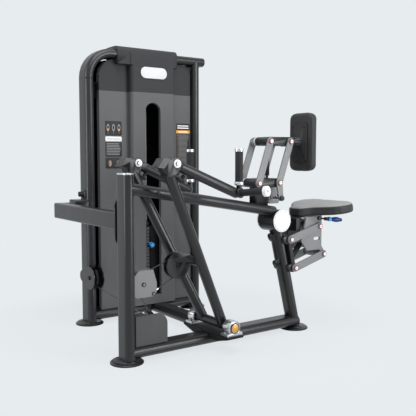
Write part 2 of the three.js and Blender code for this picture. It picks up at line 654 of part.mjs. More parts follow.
function buildPulleys() {
  const group = frameGroup(columnPulley.x, 0, columnPulley.z);
  piece(group, 'column_pulley', wheelSolid(columnCentre, across), blackPlastic, columnCentre);
  piece(group, 'base_pulley', wheelSolid(basePlace.centre, basePlace.axis, base.groove), blackPlastic, basePlace.centre);
  piece(group, 'leg_pulley', wheelSolid(legCentre, point(1, 0, 0)), blackPlastic, legCentre);
  const topLeft = point(top.leftX, stack.y, top.pulleyZ);
  const topRight = point(top.rightX, stack.y, top.pulleyZ);
  piece(group, 'top_pulley_left', wheelSolid(topLeft, across), blackPlastic, topLeft);
  piece(group, 'top_pulley_right', wheelSolid(topRight, across), blackPlastic, topRight);

  // Guard plates of the column pulley, welded to the column
  const columnFace = column.x + frameTube.thick / 2 + slack;
  const cheek = { rightX: 146, low: 283, high: 405, cut: 18, side: 30 };
  const cheekShape = polygon([
    [columnFace, cheek.low + cheek.cut], [columnFace + cheek.cut, cheek.low], [cheek.rightX - cheek.cut, cheek.low],
    [cheek.rightX, cheek.low + cheek.cut], [cheek.rightX, cheek.high - cheek.side * 2],
    [cheek.rightX - cheek.cut, cheek.high], [columnFace + cheek.side, cheek.high],
    [columnFace, cheek.high - cheek.side],
  ]);
  const columnGuard = [];
  for (const side of [-1, 1]) {
    const low = side < 0 ? -guard.inner - guard.thick : guard.inner;
    columnGuard.push(plateXZ(cheekShape, low, low + guard.thick));
  }
  const half = guard.inner + guard.thick;
  columnGuard.push(axle(columnCentre, across, half + guard.thick, half + guard.thick));
  const bolt = point(anchor.x, 0, anchor.z);
  columnGuard.push(rod(
    guard.bolt, bolt.clone().addScaledVector(across, -half - guard.thick), bolt.clone().addScaledVector(across, half + guard.thick), 4,
  ));
  piece(group, 'column_guard', join(...columnGuard), linkPaint, columnCentre);

  // Guard plates of the leg pulley lie against both sides of the leg
  const disk = { radius: 63, plate: 5, tail: 30, tailY: 730 };
  const guardShape = strap(legPulley.y, legPulley.z, disk.radius, disk.tailY, legPulley.z, disk.tail);
  const face = tower.thick / 2 + slack;
  const legGuard = join(
    plateYZ(guardShape, tower.leftX - face - disk.plate, tower.leftX - face, 6),
    plateYZ(guardShape, tower.leftX + face, tower.leftX + face + disk.plate, 6),
    axle(legCentre, point(1, 0, 0), face + disk.plate * 2, face + disk.plate * 2),
  );
  piece(group, 'leg_guard', legGuard, paint, legCentre);

  // Bracket behind the top pulleys, between the left leg and the top tube, with the guide rod shelf
  const legFace = tower.leftX + tower.thick / 2 + slack;
  const plateBack = hanger.y + hanger.thick;
  const shelf = { thick: 8, half: 125, front: 716, hole: 8 };
  const tubeLow = towerTop.z - tower.thick / 2 - slack;
  const bracket = join(
    plateXZ(rectangle(legFace, hanger.low, hanger.rightX, hanger.high), hanger.y, plateBack),
    plateXZ(rectangle(hanger.leftX, guideRod.top, hanger.rightX, tubeLow), hanger.y, plateBack),
    block(
      stack.x - shelf.half, shelf.front, guideRod.top, stack.x + shelf.half, plateBack, guideRod.top + shelf.thick,
    ),
    axle(topLeft, across, pulley.half + wall, plateBack - stack.y - wall),
    axle(topRight, across, pulley.half + wall, plateBack - stack.y - wall),
  ).subtract(rod(shelf.hole, point(stack.x, stack.y, guideRod.top - overrun), point(stack.x, stack.y, top.pulleyZ), 4));
  piece(group, 'top_pulley_bracket', bracket, blackSteel, point(stack.x, hanger.y, guideRod.top));

  // Cover on the rail round the base pulley, open behind, and the raked stud that carries the pulley
  const cover = { leftX: 30, rightX: 193, top: 205, half: 30, corner: 50, gapLeft: 92, gapRight: 182, gapFront: 20 };
  const coverLow = rail.z + frameTube.thick / 2 + slack;
  const outside = panOutline(cover.leftX, cover.rightX, coverLow, cover.top, 0, cover.corner);
  const inside = panOutline(cover.leftX, cover.rightX, coverLow, cover.top, 0, cover.corner, wall);
  const mouth = block(cover.gapLeft, -cover.gapFront, coverLow + cover.corner, cover.gapRight, cover.half + overrun, cover.top + overrun);
  const shell = plateXZ(outside, -cover.half, cover.half)
    .subtract(plateXZ(inside, wall - cover.half, cover.half + overrun)).subtract(mouth);
  const studReach = (basePlace.centre.x - column.x) / basePlace.axis.x;
  const stud = axle(basePlace.centre, basePlace.axis, studReach, pulley.half + wall).subtract(columnSolid(slack));
  const outboard = block(
    column.x - frameTube.wide, 0, 0, column.x, frameTube.wide, columnPulley.z,
  );
  const studRoom = rod(
    pulley.bore + slack, basePlace.centre, basePlace.centre.clone().addScaledVector(basePlace.axis, -studReach), 6,
  );
  piece(group, 'base_cover', shell.subtract(studRoom), paint, point(cover.leftX, 0, coverLow));
  piece(group, 'base_pulley_stud', stud.subtract(outboard), blackSteel, basePlace.centre);
}

// Cable from the anchor bolt round every pulley to the stem
function buildCable(stemTop) {
  const groove = pulley.groove;
  const down = tangentAngle(anchor.x, anchor.z, swingPulley.x, swingPulley.z, groove, 1);
  const touch = point(Math.cos(down), 0, Math.sin(down)).multiplyScalar(groove).add(swingCentre);
  const first = point(anchor.x, 0, anchor.z);
  const away = touch.clone().sub(first).normalize();
  first.addScaledVector(away, guard.bolt + slack);
  const line = Math.atan2(swingPulley.z - columnPulley.z, swingPulley.x - columnPulley.x) + Math.PI / 2;
  const turnBack = (angle) => ((angle % (Math.PI * 2)) + Math.PI * 2) % (Math.PI * 2);
  const swingArc = arc(swingCentre, touch.clone().sub(swingCentre), across, -turnBack(line - down), 12);
  const columnSpoke = point(Math.cos(line), 0, Math.sin(line)).multiplyScalar(groove);
  const columnArc = arc(columnCentre, columnSpoke, across, -turnBack(leavingAngle - line), 8);
  const baseArc = arc(
    basePlace.centre, basePlace.start.clone().sub(basePlace.centre), basePlace.axis, basePlace.turn, 8,
  );
  const climb = tangentAngle(stack.y, top.pulleyZ, legPulley.y, legPulley.z, groove, -1);
  const legStart = Math.atan2(basePlace.touch.z - legPulley.z, basePlace.touch.y - legPulley.y);
  const legArc = arc(legCentre, basePlace.touch.clone().sub(legCentre), point(1, 0, 0), turnBack(climb - legStart), 8);
  const topLeft = point(top.leftX, stack.y, top.pulleyZ);
  const topRight = point(top.rightX, stack.y, top.pulleyZ);
  const leftArc = arc(topLeft, point(-groove, 0, 0), across, Math.PI / 2, 6);
  const rightArc = arc(topRight, point(0, 0, groove), across, Math.PI / 2, 6);
  const corners = [
    first, ...swingArc, ...columnArc, ...baseArc, ...legArc, ...leftArc, ...rightArc,
    point(stack.x, stack.y, stemTop + slack),
  ];
  piece(machine, 'lift_cable', sweep(disc(pulley.cable), corners, 3), blackSteel, first);
}

// Swing frame

function shaftSolid(grow = 0) {
  const half = swing.shaftHalf + grow;
  return rod(swing.shaftRadius + grow, point(swing.x, -half, swing.z), point(swing.x, half, swing.z), 8);
}

function uprightSolid(side, grow = 0) {
  const low = point(swing.x, side * upright.lowY, swing.z);
  const high = point(upright.highX, side * upright.highY, upright.highZ);
  const start = low.clone().lerp(high, upright.lowShare);
  return rod(upright.radius + grow, start, high, 7);
}

const head = { half: 28, cheek: 8, bolt: 8, washer: 17, washerThick: 4, lug: 26, lugStart: -0.6, lugEnd: 2.26 };
// Outlines of the head about the pivot, in shares of the lug's radius
const wedgeShares = [[-3.54, -0.58], [-2.5, 0.88], [-1.23, 0.85], [-2.15, -0.81]];
const saddleShares = [
  [-2.42, -0.77], [-1.54, 0.5], [-1.27, -0.58], [-0.46, -1.31], [-0.08, -1.54], [-0.38, -2.15], [-1.62, -2.15],
];
const cheekShares = [[-1.54, 0.5], [-2.42, -0.77], [-1.62, -2.15], [-0.38, -2.15], [0.31, -1.85]];
const stop = { startX: -8, startZ: -39, endX: 46, endZ: -77, thick: 7, half: 16 };
const stopStart = point(arm.x + stop.startX, 0, arm.z + stop.startZ);
const stopEnd = point(arm.x + stop.endX, 0, arm.z + stop.endZ);
const armRun = point(arm.elbowX - arm.x, 0, arm.elbowZ - arm.z);

function headSolid(side) {
  const y = side * arm.y;
  const placed = (shares) => shares.map(([x, z]) => [arm.x + x * head.lug, arm.z + z * head.lug]);
  const wedge = polygon(placed(wedgeShares));
  const saddle = polygon(placed(saddleShares));
  const cheekShape = polygon(placed(cheekShares));
  cheekShape.absarc(arm.x, arm.z, head.lug, head.lugStart, head.lugEnd);
  const cheeks = [-1, 1].map((edge) => {
    const outer = y + edge * head.half;
    const inner = outer - edge * head.cheek;
    return plateXZ(cheekShape, Math.min(outer, inner), Math.max(outer, inner), 5);
  });
  const pinReach = head.half + head.washerThick;
  const pin = rod(head.bolt, point(arm.x, y - pinReach, arm.z), point(arm.x, y + pinReach, arm.z), 6);
  const washers = [-1, 1].map((edge) => rod(
    head.washer, point(arm.x, y + edge * head.half, arm.z), point(arm.x, y + edge * pinReach, arm.z), 8,
  ));
  const shelf = bar(
    rectangle(-stop.half, -stop.thick / 2, stop.half, stop.thick / 2),
    stopStart.clone().setY(y), stopEnd.clone().setY(y),
  );
  return join(
    plateXZ(wedge, y - head.half, y + head.half), plateXZ(saddle, y - head.half, y + head.half),
    ...cheeks, pin, ...washers, shelf,
  );
}

const bumper = { radius: 9, crownShare: 0.35 };

function bumperSolid(side) {
  const y = side * arm.y;
  const along = armRun.clone().normalize();
  const normal = point(-along.z, 0, along.x);
  const slope = stopEnd.clone().sub(stopStart).normalize();
  const seatPoint = stopEnd.clone().addScaledVector(slope, -bumper.radius - slack);
  const rise = point(-slope.z, 0, slope.x);
  const low = seatPoint.clone();
  const offset = low.clone().sub(point(arm.x, 0, arm.z)).dot(normal);
  const reach = (-arm.radius - offset) / rise.dot(normal);
  const high = low.clone().addScaledVector(rise, reach - bumper.radius * bumper.crownShare);
  low.y = y;
  high.y = y;
  return rod(bumper.radius, low, high, 5);
}

function buildSwing() {
  const group = frameGroup(swing.x, 0, swing.z);
  const hinge = point(swing.x, 0, swing.z);
  piece(group, 'swing_shaft', shaftSolid(), paint, hinge);
  for (const side of [-1, 1]) {
    const whole = join(uprightSolid(side).subtract(shaftSolid(slack)), headSolid(side), bumperSolid(side));
    piece(group, side < 0 ? 'upright_near' : 'upright_far', whole, paint, hinge);
  }

  // Crossbar between the uprights with the guard and bracket of the swing pulley
  const middle = point(swing.x, 0, swing.z).lerp(point(upright.highX, 0, upright.highZ), upright.crossShare);
  const reachY = upright.lowY + (upright.highY - upright.lowY) * upright.crossShare;
  const crossRadius = 20;
  const cross = rod(crossRadius, point(middle.x, -reachY, middle.z), point(middle.x, reachY, middle.z), 6)
    .subtract(uprightSolid(-1, slack)).subtract(uprightSolid(1, slack));
  const guardRadius = 62;
  const sector = strap(swingPulley.x, swingPulley.z, guardRadius, middle.x, middle.z, crossRadius + wall);
  const plates = [-1, 1].map((side) => {
    const low = side < 0 ? -guard.inner - guard.thick : guard.inner;
    return plateXZ(sector, low, low + guard.thick, 5);
  });
  const half = guard.inner + guard.thick * 2;
  const bracket = join(cross, ...plates, axle(swingCentre, across, half, half));
  const bite = rod(pulley.rim + wall, point(swingPulley.x, -guard.inner, swingPulley.z), point(swingPulley.x, guard.inner, swingPulley.z), 8)
    .subtract(axle(swingCentre, across, half, half));
  piece(group, 'swing_crossbar', bracket.subtract(bite), paint, middle);
  piece(group, 'swing_pulley', wheelSolid(swingCentre, across), blackPlastic, swingCentre);

  // Saddle bolted over the rail, with a pillow block at each end of the shaft
  const saddle = { leftX: 420, rightX: 512, half: 182, thick: 10, rib: 6, ribDeep: 22 };
  const saddleLow = rail.z + frameTube.thick / 2 + slack;
  const ribs = [saddle.leftX, saddle.rightX - saddle.rib].map((x) => plateYZ(polygon([
    [-saddle.half, saddleLow + saddle.rib], [-saddle.half, saddleLow], [-frameTube.wide, saddleLow - saddle.ribDeep],
    [frameTube.wide, saddleLow - saddle.ribDeep], [saddle.half, saddleLow], [saddle.half, saddleLow + saddle.rib],
  ]), x, x + saddle.rib));
  const plate = block(saddle.leftX, -saddle.half, saddleLow, saddle.rightX, saddle.half, saddleLow + saddle.thick);
  const saddleSolid = join(plate, ...ribs).subtract(railSolid(slack));
  piece(machine, 'swing_saddle', saddleSolid, paint, point(swing.x, 0, saddleLow));

  const pillow = { y: 145, half: 22, radius: 35, baseThick: 12, baseHalf: 44, baseDeep: 26, cap: 6 };
  const blockLow = saddleLow + saddle.thick + slack;
  for (const side of [-1, 1]) {
    const y = side * pillow.y;
    const housing = rod(pillow.radius, point(swing.x, y - pillow.half, swing.z), point(swing.x, y + pillow.half, swing.z), 10);
    const flange = block(
      swing.x - pillow.baseHalf, y - pillow.baseDeep, blockLow, swing.x + pillow.baseHalf, y + pillow.baseDeep, blockLow + pillow.baseThick,
    );
    const under = block(
      swing.x - overrun - pillow.radius, y - pillow.baseDeep - overrun, 0,
      swing.x + overrun + pillow.radius, y + pillow.baseDeep + overrun, blockLow,
    );
    const boreHalf = pillow.baseDeep + overrun;
    const bore = rod(
      swing.shaftRadius + swing.bearingGap, point(swing.x, y - boreHalf, swing.z), point(swing.x, y + boreHalf, swing.z), 8,
    );
    const face = side * (pillow.y + pillow.half);
    const capRadius = swing.shaftRadius + wall;
    const capEnd = point(swing.x, face + side * pillow.cap, swing.z);
    const dustCap = rod(capRadius, point(swing.x, face - side * slack, swing.z), capEnd, 8);
    const whole = join(join(housing, flange).subtract(under).subtract(bore), dustCap);
    piece(machine, side < 0 ? 'pillow_block_near' : 'pillow_block_far', whole, brightSteel, point(swing.x, face, swing.z));
  }
}

// Row arms with an upright grip and an outward grip

function buildArm(side, name) {
  const y = side * arm.y;
  const group = frameGroup(arm.x, y, arm.z);
  const hinge = point(arm.x, y, arm.z);
  const elbow = point(arm.elbowX, side * arm.elbowY, arm.elbowZ);
  const along = elbow.clone().sub(hinge).normalize();
  const hub = { radius: 22, half: head.half - head.cheek - slack, neck: 50, tubeStart: 36, neckHigh: 34 };
  const hubSolid = rod(hub.radius, point(arm.x, y - hub.half, arm.z), point(arm.x, y + hub.half, arm.z), 6);
  const straight = point(along.x, 0, along.z).normalize();
  const neck = bar(
    rectangle(-hub.half, -hub.neckHigh / 2, hub.half, hub.neckHigh / 2), hinge, hinge.clone().addScaledVector(straight, hub.neck),
  );
  const tube = rod(arm.radius, hinge.clone().addScaledVector(along, hub.tubeStart), elbow, 7);
  const ball = new THREE.SphereGeometry(arm.radius, 12, 6);
  ball.translate(elbow.x, elbow.y, elbow.z);
  const grip = {
    upRadius: 18, upCore: 12, upLow: 794, upCollar: 13, upHigh: 941, upX: 471, upY: 196,
    outRadius: 16, outCore: 11, collar: 24, collarAt: 21, collarLong: 9, outCap: 16, capRadius: 20,
    endX: 508, endY: 350, endZ: 757,
  };
  const upTop = point(grip.upX, side * grip.upY, grip.upHigh);
  const upFoot = point(grip.upX, side * grip.upY, elbow.z);
  const capLow = point(upTop.x, upTop.y, grip.upHigh - grip.upCollar);
  const upCore = rod(grip.upCore, upFoot, point(upTop.x, upTop.y, capLow.z - slack), 6);
  const outEnd = point(grip.endX, side * grip.endY, grip.endZ);
  const outLong = outEnd.distanceTo(elbow);
  const outward = outEnd.clone().sub(elbow).normalize();
  const at = (distance) => elbow.clone().addScaledVector(outward, distance);
  const outStart = grip.collarAt + grip.collarLong + slack;
  const capAt = outLong - grip.outCap;
  const outCore = rod(grip.outCore, elbow, at(capAt - slack), 6);
  const collar = rod(grip.collar, at(grip.collarAt), at(grip.collarAt + grip.collarLong), 6);
  const pinHole = rod(head.bolt + slack, point(arm.x, y - head.half, arm.z), point(arm.x, y + head.half, arm.z), 6);
  const armSolid = join(hubSolid, neck, tube, toSolid(ball), upCore, outCore, collar).subtract(pinHole);
  piece(group, `row_arm_${name}`, armSolid, paint, hinge);

  const upHole = rod(grip.upCore + slack, upFoot, point(upTop.x, upTop.y, capLow.z), 6);
  const upFloor = point(upTop.x, upTop.y, grip.upLow);
  const upGrip = rod(grip.upRadius, upFloor, upTop, 8).subtract(upHole);
  piece(group, `grip_up_${name}`, upGrip, gripRubber, upFloor);
  const outHole = rod(grip.outCore + slack, elbow, at(capAt), 6);
  const outGrip = join(rod(grip.outRadius, at(outStart), at(capAt + wall), 8), rod(grip.capRadius, at(capAt), at(outLong), 8));
  piece(group, `grip_out_${name}`, outGrip.subtract(outHole), gripRubber, at(outStart));
}

// Four-bar carriages: two straps on each side between the fixed pins and the moving pins

// One link: a strap on each side, welded to the two pins, with a head outside each strap
function linkSolid(x0, z0, x1, z1, radius) {
  const parts = [-1, 1].map((side) => {
    const low = side < 0 ? -link.inner - link.thick : link.inner;
    return plateXZ(strap(x0, z0, radius, x1, z1, radius), low, low + link.thick, 3);
  });
  return join(...parts, pinRod(x0, z0, link.pin), pinRod(x1, z1, link.pin));
}

// A pin through both straps with its heads
function pinRod(x, z, radius) {
  const inner = link.inner + link.thick;
  const reach = inner + link.headThick;
  const shank = rod(radius, point(x, -reach, z), point(x, reach, z), 6);
  if (radius > link.pin) return shank;
  const heads = [-1, 1].map((side) => rod(
    link.head, point(x, side * inner, z), point(x, side * reach, z), 4,
  ));
  return join(shank, ...heads);
}

function pinBore(x, z) {
  return pinRod(x, z, link.pin + link.pinGap);
}

// A gas spring: a thin rod from end to end and a thicker body over part of it
function strut(from, to, gas) {
  const bodyStart = from.clone().lerp(to, gas.startShare);
  const bodyEnd = from.clone().lerp(to, gas.endShare);
  return join(rod(gas.body, bodyStart, bodyEnd, 5), rod(gas.rod, from, to, 4));
}

function buildChest() {
  const rearX = chest.lowX + chest.spread;
  const highX = chest.lowX + chest.reachX;
  const highZ = chest.lowZ + chest.reachZ;
  const rearHighX = highX + chest.spread;
  const post = { x: 753, wide: 107, thick: 50, top: 766 };
  const stem = bar(
    oval(post.thick, post.wide), point(post.x, 0, upperTube.endZ), point(post.x, 0, post.top), point(1, 0, 0),
  ).subtract(upperTubeSolid(slack));
  const bracketRadius = 22;
  const bracket = plateXZ(
    strap(chest.lowX, chest.lowZ, bracketRadius, rearX, chest.lowZ, bracketRadius), -link.boss, link.boss, 5,
  );
  const pocket = { low: 762, half: 40, inset: 34 };
  const hollow = block(
    chest.lowX + pocket.inset, -pocket.half, pocket.low + wall * 2, rearX - pocket.inset, pocket.half, chest.lowZ + bracketRadius + overrun,
  );
  const sector = { leftX: 813, rightX: 886, low: 668, half: 5, corner: 14, hole: 6, arcRadius: 79, start: -1.62, step: 0.2, count: 5 };
  const sectorPlate = plateXZ(
    rectangle(sector.leftX, sector.low, sector.rightX, chest.lowZ - bracketRadius + overrun, sector.corner), -sector.half, sector.half, 3,
  );
  let sectorSolid = sectorPlate.subtract(plateXZ(disc(bracketRadius), -link.boss, link.boss).translate(rearX, 0, chest.lowZ));
  for (let i = 0; i < sector.count; i += 1) {
    const angle = sector.start + i * sector.step;
    const x = rearX + sector.arcRadius * Math.cos(angle);
    const z = chest.lowZ + sector.arcRadius * Math.sin(angle);
    sectorSolid = sectorSolid.subtract(rod(sector.hole, point(x, -link.boss, z), point(x, link.boss, z), 4));
  }
  const group = frameGroup(chest.lowX, 0, chest.lowZ);
  const lower = join(stem, bracket.subtract(hollow), sectorSolid)
    .subtract(pinBore(chest.lowX, chest.lowZ)).subtract(pinBore(rearX, chest.lowZ));
  piece(group, 'chest_post', lower, paint, point(post.x, 0, post.top));

  const strapRadius = 19;
  const front = linkSolid(chest.lowX, chest.lowZ, highX, highZ, strapRadius);
  piece(group, 'chest_link_front', front, linkPaint, point(chest.lowX, 0, chest.lowZ));
  const pop = { x: 842, z: 698, radius: 14, pin: 5, knob: 11, knobLong: 8 };
  const plateLow = -link.inner - link.thick;
  const tail = plateXZ(strap(rearX, chest.lowZ, strapRadius, pop.x, pop.z, pop.radius), plateLow, -link.inner, 4);
  const popPin = rod(pop.pin, point(pop.x, plateLow - pop.knobLong, pop.z), point(pop.x, -sector.half - wall, pop.z), 4);
  const popKnob = rod(pop.knob, point(pop.x, plateLow - pop.knobLong, pop.z), point(pop.x, plateLow, pop.z), 5);
  const rear = linkSolid(rearX, chest.lowZ, rearHighX, highZ, strapRadius);
  piece(group, 'chest_link_rear', join(rear, tail, popPin, popKnob), linkPaint, point(rearX, 0, chest.lowZ));

  const pad = { x: 1029, thick: 50, half: 85, halfHigh: 153, corner: 34, round: 14, plate: 9, plateHalf: 56, plateHigh: 100 };
  const carriageRadius = 22;
  const carriage = join(
    plateXZ(strap(highX, highZ, carriageRadius, rearHighX, highZ, carriageRadius), -link.boss, link.boss, 5),
    rod(carriageRadius + wall, point(rearHighX, 0, highZ), point(pad.x - pad.plate, 0, highZ), 8),
    plateYZ(
      rectangle(-pad.plateHalf, highZ - pad.plateHigh, pad.plateHalf, highZ + pad.plateHigh, pad.round),
      pad.x - pad.plate - slack, pad.x - slack, 3,
    ),
  ).subtract(pinBore(highX, highZ)).subtract(pinBore(rearHighX, highZ));
  piece(group, 'chest_carriage', carriage, paint, point(highX, 0, highZ));

  const inset = pad.round;
  const cushionShape = rectangle(
    inset - pad.half, highZ - pad.halfHigh + inset, pad.half - inset, highZ + pad.halfHigh - inset, pad.corner - inset,
  );
  const cushion = new THREE.ExtrudeGeometry(cushionShape, {
    depth: pad.thick - pad.round * 2, bevelEnabled: true, bevelThickness: pad.round, bevelSize: inset, bevelSegments: 3, curveSegments: 4,
  });
  cushion.applyMatrix4(new THREE.Matrix4().makeBasis(point(0, 1, 0), point(0, 0, 1), point(1, 0, 0)));
  cushion.translate(pad.x + pad.round, 0, 0);
  piece(group, 'chest_pad', toSolid(cushion), vinyl, point(pad.x, 0, highZ));

  const gas = { x: 807, body: 11, rod: 5, startShare: 0.08, endShare: 0.6 };
  const low = point(gas.x, 0, chest.lowZ + bracketRadius + slack);
  const high = point(gas.x, 0, highZ - carriageRadius - slack);
  piece(group, 'chest_strut', strut(low, high, gas), blackSteel, low);
}

function buildSeat() {
  const highX = seat.upperX + seat.reachX;
  const highZ = seat.upperZ + seat.reachZ;
  const lowX = seat.lowerX + seat.reachX;
  const lowZ = seat.lowerZ + seat.reachZ;
  const group = frameGroup(seat.upperX, 0, seat.upperZ);
  const lugRadius = 22;
  const lugs = [[seat.upperX, seat.upperZ], [seat.lowerX, seat.lowerZ]].map(([x, z]) => plateXZ(
    strap(x, z, lugRadius, postAxis(z).x + lugRadius / 2, z, lugRadius), -link.boss, link.boss, 3,
  ));
  const rib = plateXZ(
    strap(seat.upperX, seat.upperZ, lugRadius / 2, seat.lowerX, seat.lowerZ, lugRadius / 2), -link.boss, link.boss, 2,
  );
  const lugSolid = join(...lugs, rib).subtract(postSolid(slack));
  const bracket = lugSolid.subtract(pinBore(seat.upperX, seat.upperZ)).subtract(pinBore(seat.lowerX, seat.lowerZ));
  piece(group, 'seat_bracket', bracket, paint, point(seat.upperX, 0, seat.upperZ));

  const strapRadius = 20;
  const upper = linkSolid(seat.upperX, seat.upperZ, highX, highZ, strapRadius);
  piece(group, 'seat_link_upper', upper, linkPaint, point(seat.upperX, 0, seat.upperZ));
  const lower = linkSolid(seat.lowerX, seat.lowerZ, lowX, lowZ, strapRadius);
  piece(group, 'seat_link_lower', lower, linkPaint, point(seat.lowerX, 0, seat.lowerZ));

  // Cushion outline: narrow rounded nose, hollow flanks that flare to a broad rear
  const reach = { nose: 132, wide: 88, rear: 183 }; // of the cushion, from the upper outer pin
  const pad = {
    noseX: highX - reach.nose, rearX: highX + reach.rear, wideX: highX + reach.wide,
    noseHalf: 52, half: 188, low: 590, thick: 52, tilt: 0.09, round: 12,
  };
  const outline = (inset) => {
    const shape = new THREE.Shape();
    const nose = pad.noseX + inset;
    const noseHalf = pad.noseHalf - inset;
    const half = pad.half - inset;
    const rear = pad.rearX - inset;
    const flare = (pad.wideX - pad.noseX) / 2;
    const cornerDeep = pad.rearX - pad.wideX;
    shape.moveTo(nose, 0);
    shape.bezierCurveTo(nose, -noseHalf, nose + inset, -noseHalf, nose + noseHalf, -noseHalf - inset);
    shape.bezierCurveTo(pad.noseX + flare, -pad.noseHalf - inset, pad.noseX + flare, -half, pad.wideX, -half);
    shape.bezierCurveTo(rear - inset, -half, rear, -half + cornerDeep / 2, rear, -half / 2);
    shape.lineTo(rear, half / 2);
    shape.bezierCurveTo(rear, half - cornerDeep / 2, rear - inset, half, pad.wideX, half);
    shape.bezierCurveTo(pad.noseX + flare, half, pad.noseX + flare, pad.noseHalf + inset, nose + noseHalf, noseHalf + inset);
    shape.bezierCurveTo(nose + inset, noseHalf, nose, noseHalf, nose, 0);
    return shape;
  };
  const cushion = new THREE.ExtrudeGeometry(outline(pad.round), {
    depth: pad.thick - pad.round * 2, bevelEnabled: true, bevelThickness: pad.round, bevelSize: pad.round, bevelSegments: 3, curveSegments: 8,
  });
  cushion.translate(-pad.noseX, 0, pad.round);
  cushion.rotateY(-pad.tilt);
  cushion.translate(pad.noseX, 0, pad.low);
  piece(group, 'seat_pad', toSolid(cushion), vinyl, point(pad.noseX, 0, pad.low));

  // Carrier: a board under the cushion, two side plates down to the lower pins and a hub at each pin
  const inFrom = { nose: 15, rear: 79 }; // of the board, from the ends of the cushion
  const board = { leftX: pad.noseX + inFrom.nose, rightX: pad.rearX - inFrom.rear, half: 50, thick: 8 };
  const plateTop = (x) => pad.low + (x - pad.noseX) * Math.tan(pad.tilt) - slack;
  const boardShape = polygon([
    [board.leftX, plateTop(board.leftX) - board.thick], [board.rightX, plateTop(board.rightX) - board.thick],
    [board.rightX, plateTop(board.rightX) - slack], [board.leftX, plateTop(board.leftX) - slack],
  ]);
  const cheek = { leftX: 1028, cornerX: 994, cornerZ: 468, footX: 1037, footZ: 415, rightX: 1141, inner: 48, hub: 20 };
  const slit = { leftX: 1083, rightX: 1129, low: 466, high: 483 };
  const cheekShape = new THREE.Shape();
  cheekShape.moveTo(cheek.leftX, plateTop(cheek.leftX) - board.thick / 2);
  cheekShape.lineTo(cheek.cornerX, cheek.cornerZ);
  cheekShape.lineTo(cheek.footX, cheek.footZ);
  cheekShape.lineTo(lowX - cheek.hub, cheek.footZ);
  cheekShape.absarc(lowX, lowZ, cheek.hub, Math.PI * 0.9, Math.PI * 2.3);
  cheekShape.lineTo(cheek.rightX, cheek.footZ + cheek.hub);
  cheekShape.lineTo(cheek.rightX, plateTop(cheek.rightX) - board.thick / 2);
  const slitSolid = plateXZ(
    rectangle(slit.leftX, slit.low, slit.rightX, slit.high, (slit.high - slit.low) / 2 - slack), -link.inner, link.inner, 2,
  );
  const cheeks = [-1, 1].map((side) => {
    const low = side < 0 ? -link.boss : cheek.inner;
    return plateXZ(cheekShape, low, low + link.boss - cheek.inner, 3);
  });
  const hubs = [[highX, highZ], [lowX, lowZ]].map(([x, z]) => rod(strapRadius, point(x, -link.boss, z), point(x, link.boss, z), 5));
  const pivot = { x: 1118, z: 582, radius: 5, hub: 10, thick: 9 };
  const leverPin = rod(pivot.radius, point(pivot.x, -link.boss - pivot.thick - slack * 2, pivot.z), point(pivot.x, -cheek.inner, pivot.z), 4);
  const carrier = join(
    plateXZ(boardShape, -board.half, board.half), ...cheeks, ...hubs, leverPin,
  ).subtract(slitSolid).subtract(pinBore(highX, highZ)).subtract(pinBore(lowX, lowZ));
  piece(group, 'seat_carrier', carrier, linkPaint, point(highX, 0, highZ));

  // Release lever under the near edge of the seat
  const leverY = -link.boss - slack - pivot.thick;
  const hub = rod(pivot.hub, point(pivot.x, leverY, pivot.z), point(pivot.x, leverY + pivot.thick, pivot.z), 5);
  const tip = { x: 1198, y: -84, z: 572, endX: 1248, endY: -97, endZ: 568, stem: 4.5, grip: 9 };
  const centre = point(pivot.x, leverY + pivot.thick / 2, pivot.z);
  const handle = join(
    rod(tip.stem, centre, point(tip.x, tip.y, tip.z), 4),
    rod(tip.grip, point(tip.x, tip.y, tip.z), point(tip.endX, tip.endY, tip.endZ), 5),
  );
  const inboard = block(pivot.x - pivot.hub * 2, -link.boss - slack, pivot.z - pivot.hub * 2, pivot.x + pivot.hub * 2, 0, pivot.z + pivot.hub * 2);
  const hole = rod(pivot.radius + slack, point(pivot.x, leverY - overrun, pivot.z), point(pivot.x, 0, pivot.z), 4);
  piece(group, 'seat_lever', join(hub, handle).subtract(inboard).subtract(hole), blue, centre);

  const gas = { body: 15, rod: 7, startShare: 0.06, endShare: 0.55 };
  const lowPin = point(seat.lowerX, 0, seat.lowerZ);
  const highPin = point(highX, 0, highZ);
  const rise = highPin.clone().sub(lowPin).normalize();
  const from = lowPin.clone().addScaledVector(rise, lugRadius + slack);
  const to = highPin.clone().addScaledVector(rise, -strapRadius - slack);
  piece(group, 'seat_strut', strut(from, to, gas), blackSteel, from);
}

buildMainFrame();
buildSideBeam();
buildTower();
buildShroud();
const stemTop = buildStack();
buildPulleys();
buildSwing();
buildArm(-1, 'near');
buildArm(1, 'far');
buildChest();
buildSeat();
buildCable(stemTop);

export default machine;
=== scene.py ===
# Looks of the seated row machine: finishes, cushions, caps, grips, bolts, cards, light and camera.
import json
import math

import bmesh
import bpy
from mathutils import Matrix, Vector


